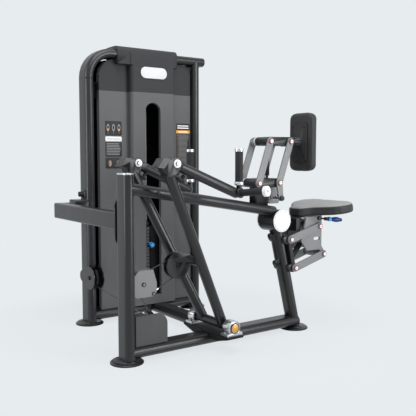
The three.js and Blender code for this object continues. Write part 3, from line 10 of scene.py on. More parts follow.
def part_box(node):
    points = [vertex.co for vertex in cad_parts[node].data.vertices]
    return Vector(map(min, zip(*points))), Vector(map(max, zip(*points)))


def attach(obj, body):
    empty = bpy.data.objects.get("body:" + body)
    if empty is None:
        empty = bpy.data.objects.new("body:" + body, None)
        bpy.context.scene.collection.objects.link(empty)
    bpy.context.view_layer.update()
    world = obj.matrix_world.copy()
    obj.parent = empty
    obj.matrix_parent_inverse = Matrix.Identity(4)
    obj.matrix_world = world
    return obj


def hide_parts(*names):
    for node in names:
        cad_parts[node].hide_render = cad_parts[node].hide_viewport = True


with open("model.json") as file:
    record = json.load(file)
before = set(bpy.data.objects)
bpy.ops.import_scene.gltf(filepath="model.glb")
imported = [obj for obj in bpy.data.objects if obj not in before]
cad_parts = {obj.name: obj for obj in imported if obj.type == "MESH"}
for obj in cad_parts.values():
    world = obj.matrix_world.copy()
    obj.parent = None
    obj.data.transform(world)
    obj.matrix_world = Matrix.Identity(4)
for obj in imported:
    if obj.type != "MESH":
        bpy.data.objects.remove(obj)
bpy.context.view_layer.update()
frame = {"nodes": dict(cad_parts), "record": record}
nodes = frame["nodes"]
print("frame loaded:", len(nodes), "nodes")

# Camera first: it stands where the photographer stood
cameraView = {
    "place": (-1.3127, -2.4448, 0.9101),
    "tilt": 90 - 4.679,
    "turn": -35.637,
    "lens": 55.2,
    "sensor": 36.0,
    "reach": 60,
}
camera = bpy.data.objects.new("camera", bpy.data.cameras.new("camera"))
bpy.context.scene.collection.objects.link(camera)
camera.location = cameraView["place"]
camera.rotation_euler = (math.radians(cameraView["tilt"]), 0, math.radians(cameraView["turn"]))
camera.data.lens = cameraView["lens"]
camera.data.sensor_width = cameraView["sensor"]
camera.data.clip_end = cameraView["reach"]
bpy.context.scene.camera = camera


# Shader sums: a Wire is one socket of a node tree, and sums on it add Math nodes
class Wire:
    def __init__(self, tree, socket=None):
        self.tree = tree
        self.socket = socket

    def node(self, kind, settings, inputs, output=0):
        made = self.tree.nodes.new("ShaderNode" + kind)
        for name, value in settings.items():
            setattr(made, name, value)
        for name, value in inputs.items():
            if isinstance(value, Wire):
                self.tree.links.new(value.socket, made.inputs[name])
            else:
                made.inputs[name].default_value = value
        return Wire(self.tree, made.outputs[output])

    def math(self, operation, *values):
        return self.node("Math", {"operation": operation}, dict(enumerate(values)))

    def __add__(self, other):
        return self.math("ADD", self, other)

    def __sub__(self, other):
        return self.math("SUBTRACT", self, other)

    def __rsub__(self, other):
        return self.math("SUBTRACT", other, self)

    def __mul__(self, other):
        return self.math("MULTIPLY", self, other)

    def __gt__(self, other):
        return self.math("GREATER_THAN", self, other)

    def __lt__(self, other):
        return self.math("LESS_THAN", self, other)

    def __mod__(self, other):
        return self.math("FLOORED_MODULO", self, other)

    def absolute(self):
        return self.math("ABSOLUTE", self)

    def root(self):
        return self.math("SQRT", self)

    def squared(self):
        return self * self


def within(value, low, high):
    return (value > low) * (value < high)


def rgb(red, green, blue):  # a colour as the photograph shows it, 0 to 255
    def linear(value):
        share = value / 255
        return share / 12.92 if share <= 0.04045 else ((share + 0.055) / 1.055) ** 2.4

    return (linear(red), linear(green), linear(blue), 1.0)


def shade(colour, share):
    return (colour[0] * share, colour[1] * share, colour[2] * share, 1.0)


# A material with its Principled shader, and x, y, z on the object itself
class Finish:
    def __init__(self, name):
        self.material = bpy.data.materials.new(name)
        self.material.use_nodes = True
        self.tree = self.material.node_tree
        self.shader = self.tree.nodes["Principled BSDF"]
        self.start = Wire(self.tree)
        self.place = self.start.node("TexCoord", {}, {}, "Object")
        split = self.tree.nodes.new("ShaderNodeSeparateXYZ")
        self.tree.links.new(self.place.socket, split.inputs[0])
        self.x, self.y, self.z = (Wire(self.tree, split.outputs[i]) for i in range(3))

    def noise(self, scale, detail=2.0, roughness=0.5):
        return self.start.node(
            "TexNoise", {}, {"Vector": self.place, "Scale": scale, "Detail": detail, "Roughness": roughness}
        )

    def patches(self, scale):
        return self.noise(scale, 3.0)

    def spread(self, low, high, scale):
        return self.noise(scale) * (high - low) + low

    def blend(self, share, under, over):
        return self.start.node(
            "Mix", {"data_type": "RGBA", "clamp_factor": True}, {0: share, 6: under, 7: over}, 2
        )

    def set(self, **values):
        for name, value in values.items():
            socket = self.shader.inputs[name.replace("_", " ")]
            if isinstance(value, Wire):
                self.tree.links.new(value.socket, socket)
            else:
                socket.default_value = value

    def bump(self, height, strength, distance):
        normal = self.start.node(
            "Bump", {}, {"Height": height, "Strength": strength, "Distance": distance}
        )
        self.set(Normal=normal)


# Powder coat: faint mottling, orange peel, dust that dulls it near the floor
coat = {
    "mottle": 0.12, "mottleScale": 7.0, "dustTop": 0.05, "dustRate": 9.0, "dustTone": 1.5, "smoother": 0.06,
    "rougher": 0.08, "wearScale": 22.0, "peelScale": 420.0, "peelStrength": 0.1, "peelHeight": 0.00048, "gloss": 0.5,
}


def powderCoat(name, colour, rough, metal, zones=(), gloss=coat["gloss"]):
    finish = Finish(name)
    base = finish.blend(
        finish.patches(coat["mottleScale"]), shade(colour, 1 - coat["mottle"]), shade(colour, 1 + coat["mottle"])
    )
    dust = (coat["dustTop"] - finish.z) * coat["dustRate"]
    base = finish.blend(dust, base, shade(colour, coat["dustTone"]))
    roughness = finish.spread(rough - coat["smoother"], rough + coat["rougher"], coat["wearScale"])
    metallic = metal
    for mask, zoneColour, zoneRough, zoneMetal in zones:
        share = mask(finish)
        base = finish.blend(share, base, zoneColour)
        roughness = roughness + share * (zoneRough - rough)
        metallic = share * (zoneMetal - metal) + metallic
    finish.set(Base_Color=base, Roughness=roughness, Metallic=metallic, Specular_IOR_Level=gloss)
    finish.bump(finish.noise(coat["peelScale"], 1.0), coat["peelStrength"], coat["peelHeight"])
    return finish.material


darkGrey = rgb(30, 31, 32)
midGrey = rgb(126, 127, 128)
rubberBlack = rgb(24, 24, 25)
satin = {"rough": 0.3, "metal": 0.1}
framePaint = powderCoat("frame_satin_grey", darkGrey, **satin)
linkPaint = powderCoat("link_light_grey", midGrey, 0.5, 0.2)
blackPaint = powderCoat("bracket_black", rgb(26, 27, 28), 0.5, 0.1, gloss=0.3)
saddlePaint = powderCoat("saddle_dull_grey", rgb(34, 35, 36), 0.62, 0.0, gloss=0.12)
coverPaint = powderCoat("cover_pale_grey", rgb(78, 79, 80), 0.46, 0.1, gloss=0.3)

# Where one solid changes its finish
footSole = 0.0052
armStopSpan = {"front": 0.1755, "back": 0.199, "low": 0.8065}
sectorSpan = {"half": 0.0062, "front": 0.812, "top": 0.7535}
padPlateFront = 1.0115
postHub = {"rear": 0.7, "ring": (0.028, 0.04)}
carriageHub = {"rear": 0.786, "ring": (0.028, 0.038), "far": (0.038, 0.2)}


def footRubber(finish):
    return finish.z < footSole


def armStop(finish):  # the rubber stop that stands on the shelf of each head block
    return within(finish.x, armStopSpan["front"], armStopSpan["back"]) * (finish.z > armStopSpan["low"])


def sectorPlate(finish):  # the slotted plate below the lower bracket of the chest pad
    thin = finish.y.absolute() < sectorSpan["half"]
    return thin * (finish.x > sectorSpan["front"]) * (finish.z < sectorSpan["top"])


def padPlate(finish):
    return finish.x > padPlateFront


def hubBand(hub, part):  # a stretch of the front hub, counted across the machine
    def mask(finish):
        return within(finish.y, *hub[part]) * (finish.x < hub["rear"])
    return mask


hubGrey = rgb(142, 143, 144)
hubRing = rgb(216, 217, 218)
postPaint = powderCoat("chest_post_grey", darkGrey, **satin, zones=[
    (sectorPlate, midGrey, 0.5, 0.1), (hubBand(postHub, "ring"), hubRing, 0.4, 0.1),
])
carriagePaint = powderCoat("chest_carriage_grey", darkGrey, **satin, zones=[
    (padPlate, rgb(28, 28, 29), 0.66, 0.0), (hubBand(carriageHub, "far"), hubGrey, 0.45, 0.1),
    (hubBand(carriageHub, "ring"), hubRing, 0.4, 0.1),
])
footPaint = powderCoat(
    "frame_grey_on_rubber_foot", darkGrey, **satin, zones=[(footRubber, rubberBlack, 0.8, 0.0)]
)
uprightPaint = powderCoat("swing_frame_grey", darkGrey, **satin, zones=[(armStop, rubberBlack, 0.75, 0.0)])

# Shroud: fine textured coat, lighter below the line across all three panels, with painted shade in near black on the
# inner faces of its rear pan
# the near black tone is painted shade for the inside of the rear pan
panel = {
    "lineZ": 1.258, "upper": rgb(58, 59, 60), "lower": rgb(106, 107, 108), "paintedLightTone": rgb(12, 12, 12),
    "patchScale": 5.0, "patchShare": 0.22, "rough": (0.46, 0.6, 30.0), "gloss": 0.16,
    "grainScale": 700.0, "grainStrength": 0.4, "grainHeight": 0.0006,
}
panInner = {"x": (0.2065, 0.8005), "y": (0.7, 0.8105), "low": 0.06}


def shroudCoat(name, paintedShadeMask=None):
    finish = Finish(name)
    tone = finish.blend(finish.z < panel["lineZ"], panel["upper"], panel["lower"])
    tone = finish.blend(finish.patches(panel["patchScale"]) * panel["patchShare"], tone, panel["upper"])
    # painted shade: the inner faces of the rear pan are painted near black
    if paintedShadeMask:
        tone = finish.blend(paintedShadeMask(finish), tone, panel["paintedLightTone"])
    finish.set(Base_Color=tone, Roughness=finish.spread(*panel["rough"]), Specular_IOR_Level=panel["gloss"])
    finish.bump(finish.noise(panel["grainScale"]), panel["grainStrength"], panel["grainHeight"])
    return finish.material


# the inner faces of the rear pan, where the painted shade goes
def panPaintedShade(finish):
    return within(finish.x, *panInner["x"]) * within(finish.y, *panInner["y"]) * (finish.z > panInner["low"])


shroudPaint = shroudCoat("shroud_textured_grey")
# the rear pan's finish carries painted shade on its inner faces
panPaintWithShade = shroudCoat("shroud_pan_grey_painted_shade", panPaintedShade)

# Bare and plated metal: fine lines that change its tone, its sheen and its surface together
metalLook = {
    "scale": 14.0, "detail": 4.0, "darker": 0.86, "brighter": 1.06, "roughSpan": 0.16,
    "strength": 0.12, "height": 0.0004,
}


def metalFinish(name, colour, rough, metal=1.0, streak=(1.0, 1.0, 1.0)):
    finish = Finish(name)
    stretched = finish.start.node("Mapping", {}, {"Vector": finish.place, "Scale": streak})
    lines = finish.start.node(
        "TexNoise", {}, {"Vector": stretched, "Scale": metalLook["scale"], "Detail": metalLook["detail"]}
    )
    tone = finish.blend(lines, shade(colour, metalLook["darker"]), shade(colour, metalLook["brighter"]))
    roughness = lines * metalLook["roughSpan"] + (rough - metalLook["roughSpan"] / 2)
    finish.set(Base_Color=tone, Metallic=metal, Roughness=roughness)
    finish.bump(lines, metalLook["strength"], metalLook["height"])
    return finish.material


castAluminium = metalFinish("cast_aluminium", rgb(206, 208, 210), 0.34)
brightSteel = metalFinish("ground_steel", rgb(200, 202, 204), 0.26, streak=(1.0, 1.0, 60.0))
boltSteel = metalFinish("black_oxide_bolt", rgb(34, 34, 35), 0.42, 0.5)
zincSteel = metalFinish("zinc_bolt", rgb(188, 190, 192), 0.32)
goldCap = metalFinish("gold_anodised_cap", rgb(219, 166, 82), 0.34, 0.75)

# Moulded plastic and rubber: soft patches and a fine grain
mouldedLook = {
    "patchScale": 12.0, "darker": 0.92, "brighter": 1.08, "roughSpan": 0.05, "wearScale": 40.0,
    "grain": 260.0, "grainStrength": 0.3, "grainHeight": 0.0003, "gloss": 0.35,
}


def plastic(name, colour, rough, grain=mouldedLook["grain"], height=mouldedLook["grainHeight"]):
    finish = Finish(name)
    patches = finish.patches(mouldedLook["patchScale"])
    tone = finish.blend(patches, shade(colour, mouldedLook["darker"]), shade(colour, mouldedLook["brighter"]))
    span = mouldedLook["roughSpan"]
    roughness = finish.spread(rough - span, rough + span, mouldedLook["wearScale"])
    finish.set(Base_Color=tone, Roughness=roughness, Specular_IOR_Level=mouldedLook["gloss"])
    finish.bump(finish.noise(grain), mouldedLook["grainStrength"], height)
    return finish.material


whitePlastic = plastic("white_cap_plastic", rgb(248, 248, 249), 0.3)
badgePlastic = plastic("badge_pale_plastic", rgb(226, 225, 228), 0.35)
redPlastic = plastic("red_ring_plastic", rgb(178, 34, 36), 0.35)
bluePlastic = plastic("blue_knob_plastic", rgb(80, 176, 255), 0.4)
brightBlue = plastic("bright_blue_collar", rgb(60, 190, 255), 0.35)
deepBlue = plastic("deep_blue_grip", rgb(22, 52, 124), 0.36)
blackPlastic = plastic("black_moulded_plastic", rgb(28, 29, 30), 0.45)
pulleyNylon = plastic("black_pulley_nylon", rgb(22, 23, 24), 0.4)
blackRubber = plastic("ribbed_grip_rubber", rgb(30, 30, 31), 0.62, 900.0, 0.0008)

# Cast plates: dark pitted iron
ironLook = {
    "pitScale": 130.0, "pitDetail": 4.0, "pitRoughness": 0.6, "pitStrength": 0.4, "pitHeight": 0.0012,
    "low": rgb(14, 14, 15), "high": rgb(30, 30, 31), "rough": (0.5, 0.72, 60.0), "gloss": 0.2,
}


def castIron():
    finish = Finish("weight_plate_iron")
    pits = finish.noise(ironLook["pitScale"], ironLook["pitDetail"], ironLook["pitRoughness"])
    tone = finish.blend(pits, ironLook["low"], ironLook["high"])
    finish.set(Base_Color=tone, Roughness=finish.spread(*ironLook["rough"]), Specular_IOR_Level=ironLook["gloss"])
    finish.bump(pits, ironLook["pitStrength"], ironLook["pitHeight"])
    return finish.material


plateIron = castIron()

# Cable: twisted strands under a black jacket, with a painted highlight in pale grey where it runs down within the
# shroud
cableLook = {
    "layScale": 120.0, "distortion": 0.4, "low": rgb(30, 30, 31), "high": rgb(76, 77, 79),
    "paintedLightTone": rgb(205, 206, 208), "paintedHighlightFrom": 0.695, "paintedHighlightShare": 0.9, "rough": 0.3, "roughSpan": 0.12,
    "strength": 0.3, "height": 0.0003,
}


def cableJacket():
    finish = Finish("cable_jacket_painted_highlight")
    lay = finish.start.node(
        "TexWave", {"bands_direction": "DIAGONAL"},
        {"Vector": finish.place, "Scale": cableLook["layScale"], "Distortion": cableLook["distortion"]}, 1,
    )
    tone = finish.blend(lay, cableLook["low"], cableLook["high"])
    # painted highlight: the cable is painted pale where it runs down within the shroud
    tone = finish.blend((finish.y > cableLook["paintedHighlightFrom"]) * cableLook["paintedHighlightShare"], tone, cableLook["paintedLightTone"])
    finish.set(Base_Color=tone, Roughness=lay * cableLook["roughSpan"] + cableLook["rough"])
    finish.bump(lay, cableLook["strength"], cableLook["height"])
    return finish.material


cableBlack = cableJacket()

# Upholstery: pebbled vinyl, and on the seat a paler upper face that is a painted highlight (painted sheen) and a
# darker band along its base that is painted shade
# the pale grey here is the painted highlight on the seat's top, and band is the share of the painted shade along its
# base
vinylLook = {
    "colour": rgb(24, 24, 25), "worn": rgb(38, 38, 39), "wornScale": 9.0, "paintedSheen": rgb(166, 166, 167), "band": 0.4,
    "cellScale": 420.0, "cellShare": 0.35, "cellTone": 0.8, "creaseScale": 36.0, "creaseDetail": 5.0,
    "creaseRoughness": 0.6, "cellRise": 0.7, "creaseRise": 0.5, "rough": (0.5, 0.64, 18.0), "gloss": 0.4,
    "sheen": 0.15, "strength": 0.5, "height": 0.0005,
}
# top and band give where the seat's painted highlight and painted shade lie; nose and tilt give its slope
seatForm = {"nose": 0.985, "tilt": 0.09, "top": 0.6335, "band": 0.6015, "edgeRate": 220.0}


def padVinyl(name, faces=None):
    finish = Finish(name)
    pebble = finish.start.node(
        "TexVoronoi", {"feature": "SMOOTH_F1"}, {"Vector": finish.place, "Scale": vinylLook["cellScale"]}
    )
    creases = finish.noise(vinylLook["creaseScale"], vinylLook["creaseDetail"], vinylLook["creaseRoughness"])
    tone = finish.blend(finish.patches(vinylLook["wornScale"]), vinylLook["colour"], vinylLook["worn"])
    if faces:
        # painted light: the paler upper face is a painted highlight and the darker band along the base is painted
        # shade
        upper, base = faces(finish)
        tone = finish.blend(upper, tone, vinylLook["paintedSheen"])
        tone = finish.blend(base, tone, shade(vinylLook["colour"], vinylLook["band"]))
    tone = finish.blend(pebble * vinylLook["cellShare"], tone, shade(vinylLook["colour"], vinylLook["cellTone"]))
    finish.set(
        Base_Color=tone, Roughness=finish.spread(*vinylLook["rough"]),
        Specular_IOR_Level=vinylLook["gloss"], Sheen_Weight=vinylLook["sheen"],
    )
    height = pebble * vinylLook["cellRise"] + creases * vinylLook["creaseRise"]
    finish.bump(height, vinylLook["strength"], vinylLook["height"])
    return finish.material


# the seat's painted light: rise towards the top face for the painted highlight, and the band along the base for the
# painted shade
def seatPaintedLight(finish):
    level = finish.z - (finish.x - seatForm["nose"]) * seatForm["tilt"]
    return (level - seatForm["top"]) * seatForm["edgeRate"], level < seatForm["band"]


seatVinylPaintedLight = padVinyl("seat_vinyl_painted_light", seatPaintedLight)
chestVinyl = padVinyl("chest_vinyl")

# Every node takes a finish
finishes = {
    "column": footPaint, "seat_post": footPaint, "tower_leg_left": footPaint, "tower_leg_right": footPaint,
    "base_rail": framePaint, "post_drum": framePaint, "upper_tube": framePaint, "cross_tube": framePaint,
    "side_beam": framePaint, "tower_top_tube": framePaint, "tower_base_tube": framePaint,
    "shroud_left": shroudPaint, "shroud_right": shroudPaint, "shroud_center": shroudPaint,
    "shroud_rear": panPaintWithShade, "shroud_crown": shroudPaint,
    "resting_plates": plateIron, "lifted_plates": plateIron, "stack_stem": boltSteel,
    "selector_pin": bluePlastic, "guide_rod_left": brightSteel, "guide_rod_right": brightSteel,
    "column_guard": linkPaint, "leg_guard": framePaint, "top_pulley_bracket": blackPaint,
    "base_cover": coverPaint, "base_pulley_stud": boltSteel, "column_pulley": pulleyNylon,
    "base_pulley": pulleyNylon, "leg_pulley": pulleyNylon, "top_pulley_left": pulleyNylon,
    "top_pulley_right": pulleyNylon, "swing_pulley": pulleyNylon, "lift_cable": cableBlack,
    "swing_shaft": framePaint, "upright_near": uprightPaint, "upright_far": uprightPaint,
    "swing_crossbar": framePaint, "swing_saddle": saddlePaint, "pillow_block_near": castAluminium,
    "pillow_block_far": castAluminium, "row_arm_near": framePaint, "row_arm_far": framePaint,
    "grip_up_near": blackRubber, "grip_up_far": blackRubber, "grip_out_near": blackRubber,
    "grip_out_far": blackRubber, "chest_post": postPaint, "chest_link_front": linkPaint,
    "chest_link_rear": linkPaint, "chest_carriage": carriagePaint, "chest_pad": chestVinyl,
    "chest_strut": blackPaint, "seat_bracket": framePaint, "seat_link_upper": linkPaint,
    "seat_link_lower": linkPaint, "seat_pad": seatVinylPaintedLight, "seat_carrier": linkPaint,
    "seat_lever": blackPaint, "seat_strut": blackPaint,
}
for name, node in nodes.items():
    node.data.materials.clear()
    node.data.materials.append(finishes[name])
print("finishes given to", len(finishes), "nodes")

# All but these are shown by a copy that is merged and smoothed, and flat guards and links also get soft edges
keptAsBuilt = {"resting_plates", "lifted_plates", "top_pulley_bracket", "seat_lever", "seat_pad", "chest_pad"}
softEdged = {"column_guard", "leg_guard", "chest_link_front", "chest_link_rear", "seat_link_upper", "seat_link_lower"}
skin = {"merge": 0.00002, "edge": 0.0008, "edgeSteps": 2, "edgeAngle": 50, "smoothAngle": 34}
bodyOf = {node: body for body, members in frame["record"]["behaviour"]["bodies"].items() for node in members}


def only(obj):
    bpy.ops.object.select_all(action="DESELECT")
    obj.select_set(True)
    bpy.context.view_layer.objects.active = obj


def settle(obj):  # its place goes into its mesh
    only(obj)
    bpy.ops.object.transform_apply(location=True, rotation=True, scale=True)


def copyOf(node, name):
    obj = bpy.data.objects.new(name, nodes[node].data.copy())
    bpy.context.scene.collection.objects.link(obj)
    only(obj)
    bpy.ops.object.mode_set(mode="EDIT")
    bpy.ops.mesh.select_all(action="SELECT")
    bpy.ops.mesh.remove_doubles(threshold=skin["merge"])
    bpy.ops.object.mode_set(mode="OBJECT")
    return obj


def softenEdges(obj, width, segments, degrees):  # where faces meet at more than these degrees
    rounding = obj.modifiers.new("edge", "BEVEL")
    rounding.width = width
    rounding.segments = segments
    rounding.limit_method = "ANGLE"
    rounding.angle_limit = math.radians(degrees)
    bpy.ops.object.modifier_apply(modifier="edge")


def rideOn(obj, body):
    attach(obj, body)


smoothed = [name for name in finishes if name not in keptAsBuilt]
for name in smoothed:
    piece = copyOf(name, name + "_skin")
    if name in softEdged:
        softenEdges(piece, skin["edge"], skin["edgeSteps"], skin["edgeAngle"])
    bpy.ops.object.shade_smooth_by_angle(angle=math.radians(skin["smoothAngle"]))
    evened = piece.modifiers.new("evened", "WEIGHTED_NORMAL")
    evened.keep_sharp = True
    bpy.ops.object.modifier_apply(modifier="evened")
    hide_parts(name)
    rideOn(piece, bodyOf[name])
print("round nodes softened:", len(smoothed))

# Made pieces: how finely they are cut and rounded, and the angles that count as edges
made = {
    "corners": 40, "edge": 0.0006, "edgeSteps": 3, "turnedEdge": 40, "turnedSmooth": 30, "plateEdge": 60,
    "plateSmooth": 34, "merge": 0.00005, "aligned": 0.9,
}


# A turned piece: a disc or hexagon whose outer face is stepped in and out, as on a lathe. From the step
# innerFrom on, that face has the finish inner
def turned(name, place, axis, look, finish, inner=None, innerFrom=0):
    depth = look["depth"]
    corners = look.get("corners", made["corners"])
    edge = look.get("edge", made["edge"])
    bpy.ops.object.select_all(action="DESELECT")
    bpy.ops.mesh.primitive_cylinder_add(
        vertices=corners, radius=look["radius"], depth=depth, location=(0, 0, depth / 2)
    )
    obj = bpy.context.object
    obj.name = name
    settle(obj)
    obj.data.materials.append(finish)
    if inner:
        obj.data.materials.append(inner)
    bpy.ops.object.mode_set(mode="EDIT")
    bpy.ops.mesh.select_all(action="DESELECT")
    bpy.ops.mesh.select_mode(type="FACE")
    mesh = bmesh.from_edit_mesh(obj.data)
    for face in mesh.faces:
        face.select = face.normal.z > made["aligned"]
    bmesh.update_edit_mesh(obj.data)
    for index, (inset, rise) in enumerate(look["steps"]):
        bpy.ops.mesh.inset(thickness=inset, depth=0)
        if inner and index == innerFrom:
            obj.active_material_index = 1
            bpy.ops.object.material_slot_assign()
        if rise:
            bpy.ops.mesh.extrude_region_move(TRANSFORM_OT_translate={"value": (0, 0, rise)})
    bpy.ops.object.mode_set(mode="OBJECT")
    if edge:
        softenEdges(obj, edge, made["edgeSteps"], made["turnedEdge"])
    bpy.ops.object.shade_smooth_by_angle(angle=math.radians(made["turnedSmooth"]))
    obj.rotation_mode = "QUATERNION"
    obj.rotation_quaternion = Vector(axis).normalized().to_track_quat("Z", "Y")
    obj.location = place
    settle(obj)
    return obj


def joined(name, parts):
    bpy.ops.object.select_all(action="DESELECT")
    for part in parts:
        part.select_set(True)
    bpy.context.view_layer.objects.active = parts[0]
    bpy.ops.object.join()
    whole = bpy.context.object
    whole.name = name
    return whole


# Flat-oval or round-ended plate: a box whose edges along one axis are rounded
def roundedPlate(name, low, high, axis, radius, finish, edge=0.0008, roundSteps=12):
    centre = [(a + b) / 2 for a, b in zip(low, high)]
    bpy.ops.object.select_all(action="DESELECT")
    bpy.ops.mesh.primitive_cube_add(size=1, location=centre)
    obj = bpy.context.object
    obj.name = name
    obj.scale = [b - a for a, b in zip(low, high)]
    settle(obj)
    obj.data.materials.append(finish)
    bpy.ops.object.mode_set(mode="EDIT")
    bpy.ops.mesh.select_all(action="DESELECT")
    bpy.ops.mesh.select_mode(type="EDGE")
    mesh = bmesh.from_edit_mesh(obj.data)
    for line in mesh.edges:
        run = (line.verts[1].co - line.verts[0].co).normalized()
        line.select = abs(run[axis]) > made["aligned"]
    bmesh.update_edit_mesh(obj.data)
    bpy.ops.mesh.bevel(offset=radius, segments=roundSteps, affect="EDGES")
    bpy.ops.mesh.select_all(action="SELECT")
    bpy.ops.mesh.remove_doubles(threshold=made["merge"])
    bpy.ops.object.mode_set(mode="OBJECT")
    if edge:
        softenEdges(obj, edge, made["edgeSteps"], made["plateEdge"])
    bpy.ops.object.shade_smooth_by_angle(angle=math.radians(made["plateSmooth"]))
    return obj


bothSides = ((-1, "near"), (1, "far"))

# Bright oval cap in the top of the column
columnCap = {"halfX": 0.0245, "halfY": 0.0495, "low": 0.8281, "high": 0.8362, "round": 0.0244, "edge": 0.002}
cap = roundedPlate(
    "column_cap", (-columnCap["halfX"], -columnCap["halfY"], columnCap["low"]),
    (columnCap["halfX"], columnCap["halfY"], columnCap["high"]), 2, columnCap["round"], castAluminium,
    columnCap["edge"],
)
rideOn(cap, "frame")

# White domed caps in both ends of the drum
drumCap = {
    "x": 0.854, "z": 0.583, "start": 0.0602, "radius": 0.0564, "depth": 0.0052, "corners": 64, "edge": 0.0012,
    "steps": [(0.005, 0), (0.001, 0.0008), (0.02, 0.0006)],
}
for side, label in bothSides:
    place = (drumCap["x"], side * drumCap["start"], drumCap["z"])
    cap = turned("drum_cap_" + label, place, (0, side, 0), drumCap, whitePlastic)
    rideOn(cap, "frame")

# Gold cap in a black ring on each bearing, and two bolts through each bearing foot
bearing = {"x": 0.470, "z": 0.116, "face": 0.1671, "goldLift": 0.0052}
bearingRing = {"radius": 0.0245, "depth": 0.0068, "corners": 48, "steps": [(0.003, 0), (0.0012, -0.0012)]}
bearingGold = {"radius": 0.0185, "depth": 0.0022, "corners": 48, "steps": [(0.003, 0.0006), (0.009, 0.0003)]}
footBolt = {
    "apart": 0.037, "y": 0.145, "z": 0.0924, "radius": 0.0075, "depth": 0.006, "corners": 6, "steps": [(0.0018, 0)],
}
for side, label in bothSides:
    face = side * bearing["face"]
    ring = turned(label + "ring", (bearing["x"], face, bearing["z"]), (0, side, 0), bearingRing, blackPlastic)
    place = (bearing["x"], face + side * bearing["goldLift"], bearing["z"])
    disc = turned(label + "disc", place, (0, side, 0), bearingGold, goldCap)
    rideOn(joined("bearing_cap_" + label, [ring, disc]), "frame")
    bolts = []
    for end in (-1, 1):
        place = (bearing["x"] + end * footBolt["apart"], side * footBolt["y"], footBolt["z"])
        bolts.append(turned(label + "bolt", place, (0, 0, 1), footBolt, zincSteel))
    rideOn(joined("bearing_bolts_" + label, bolts), "frame")

# White centres in red rings on the heads of the link pins, with a black dot in each
pinCap = {
    "start": 0.0701, "radius": 0.0124, "depth": 0.0072, "corners": 32, "edge": 0.0005,
    "steps": [(0.0024, 0), (0.0006, 0.001), (0.0056, 0), (0.0006, -0.001)],
}
pinDot = {"start": 0.0773, "radius": 0.0021, "depth": 0.0006, "corners": 12, "edge": 0.0, "steps": [(0.0004, 0)]}
linkPins = {
    "chest_front": ("chest_front_link", ((0.697, 0.776), (0.770, 0.9815))),
    "chest_rear": ("chest_rear_link", ((0.830, 0.776), (0.903, 0.9815))),
    "seat_upper": ("seat_upper_link", ((0.913, 0.484), (1.117, 0.5395))),
    "seat_lower": ("seat_lower_link", ((0.945, 0.335), (1.149, 0.3905))),
}
for label, (body, pins) in linkPins.items():
    ends = [(x, side, z) for x, z in pins for side in (-1, 1)]
    caps = [
        turned(label + "dot", (x, side * pinDot["start"], z), (0, side, 0), pinDot, blackPlastic)
        for x, side, z in ends
    ]
    caps += [
        turned(label + "cap", (x, side * pinCap["start"], z), (0, side, 0), pinCap, redPlastic, whitePlastic, 1)
        for x, side, z in ends
    ]
    rideOn(joined(label + "_pin_caps", caps), body)

# White washers, black rings and socket bolts where the arms hang in the head blocks
armPivot = {"x": 0.143, "z": 0.877, "outer": 0.1921, "inner": 0.1359}
pivotLayers = {
    "washer": {
        "lift": 0.0, "radius": 0.0176, "depth": 0.0046, "steps": [(0.003, 0), (0.0006, 0.0006)],
        "finish": whitePlastic, "corners": 40, "edge": 0.0006,
    },
    "ring": {
        "lift": 0.0048, "radius": 0.0098, "depth": 0.0012, "steps": [(0.001, 0)],
        "finish": blackPlastic, "corners": 32, "edge": 0.0003,
    },
    "socket": {
        "lift": 0.0056, "radius": 0.0079, "depth": 0.005, "steps": [(0.0034, 0), (0.0003, -0.003)],
        "finish": zincSteel, "corners": 24, "edge": 0.0005,
    },
}
for side, label in bothSides:
    parts = []
    for start, way in ((armPivot["outer"], side), (armPivot["inner"], -side)):
        for layer, look in pivotLayers.items():
            place = (armPivot["x"], side * start + way * look["lift"], armPivot["z"])
            parts.append(turned(label + layer, place, (0, way, 0), look, look["finish"]))
    rideOn(joined("arm_pivot_bolts_" + label, parts), "swing")

# Aluminium collars on the upright grips and end caps on the outward grips
gripLine = {"x": 0.471, "y": 0.196, "low": 0.7785, "high": 0.9287}
gripTop = {"radius": 0.0192, "depth": 0.0135, "edge": 0.0015, "steps": [(0.003, 0), (0.001, -0.0008)]}
gripFoot = {"radius": 0.0202, "depth": 0.0152, "edge": 0.002, "steps": [(0.002, 0)]}
gripCap = {
    "elbow": (0.456, 0.192, 0.743), "end": (0.508, 0.350, 0.757), "along": 0.1514, "radius": 0.0232,
    "depth": 0.0165, "corners": 48, "edge": 0.0022, "steps": [(0.0055, 0), (0.0008, -0.0008), (0.0105, 0.0006)],
}
for side, label in bothSides:
    x, y = gripLine["x"], side * gripLine["y"]
    top = turned(label + "top", (x, y, gripLine["high"]), (0, 0, 1), gripTop, castAluminium)
    foot = turned(label + "foot", (x, y, gripLine["low"]), (0, 0, 1), gripFoot, castAluminium)
    rideOn(joined("grip_collars_" + label, [top, foot]), "arm_" + label)
    start, end = (Vector((x, side * y, z)) for x, y, z in (gripCap["elbow"], gripCap["end"]))
    way = (end - start).normalized()
    place = start + way * gripCap["along"]
    cap = turned("grip_end_cap_" + label, place, way, gripCap, whitePlastic, zincSteel, 2)
    rideOn(cap, "arm_" + label)
print("caps, bolts and collars made")

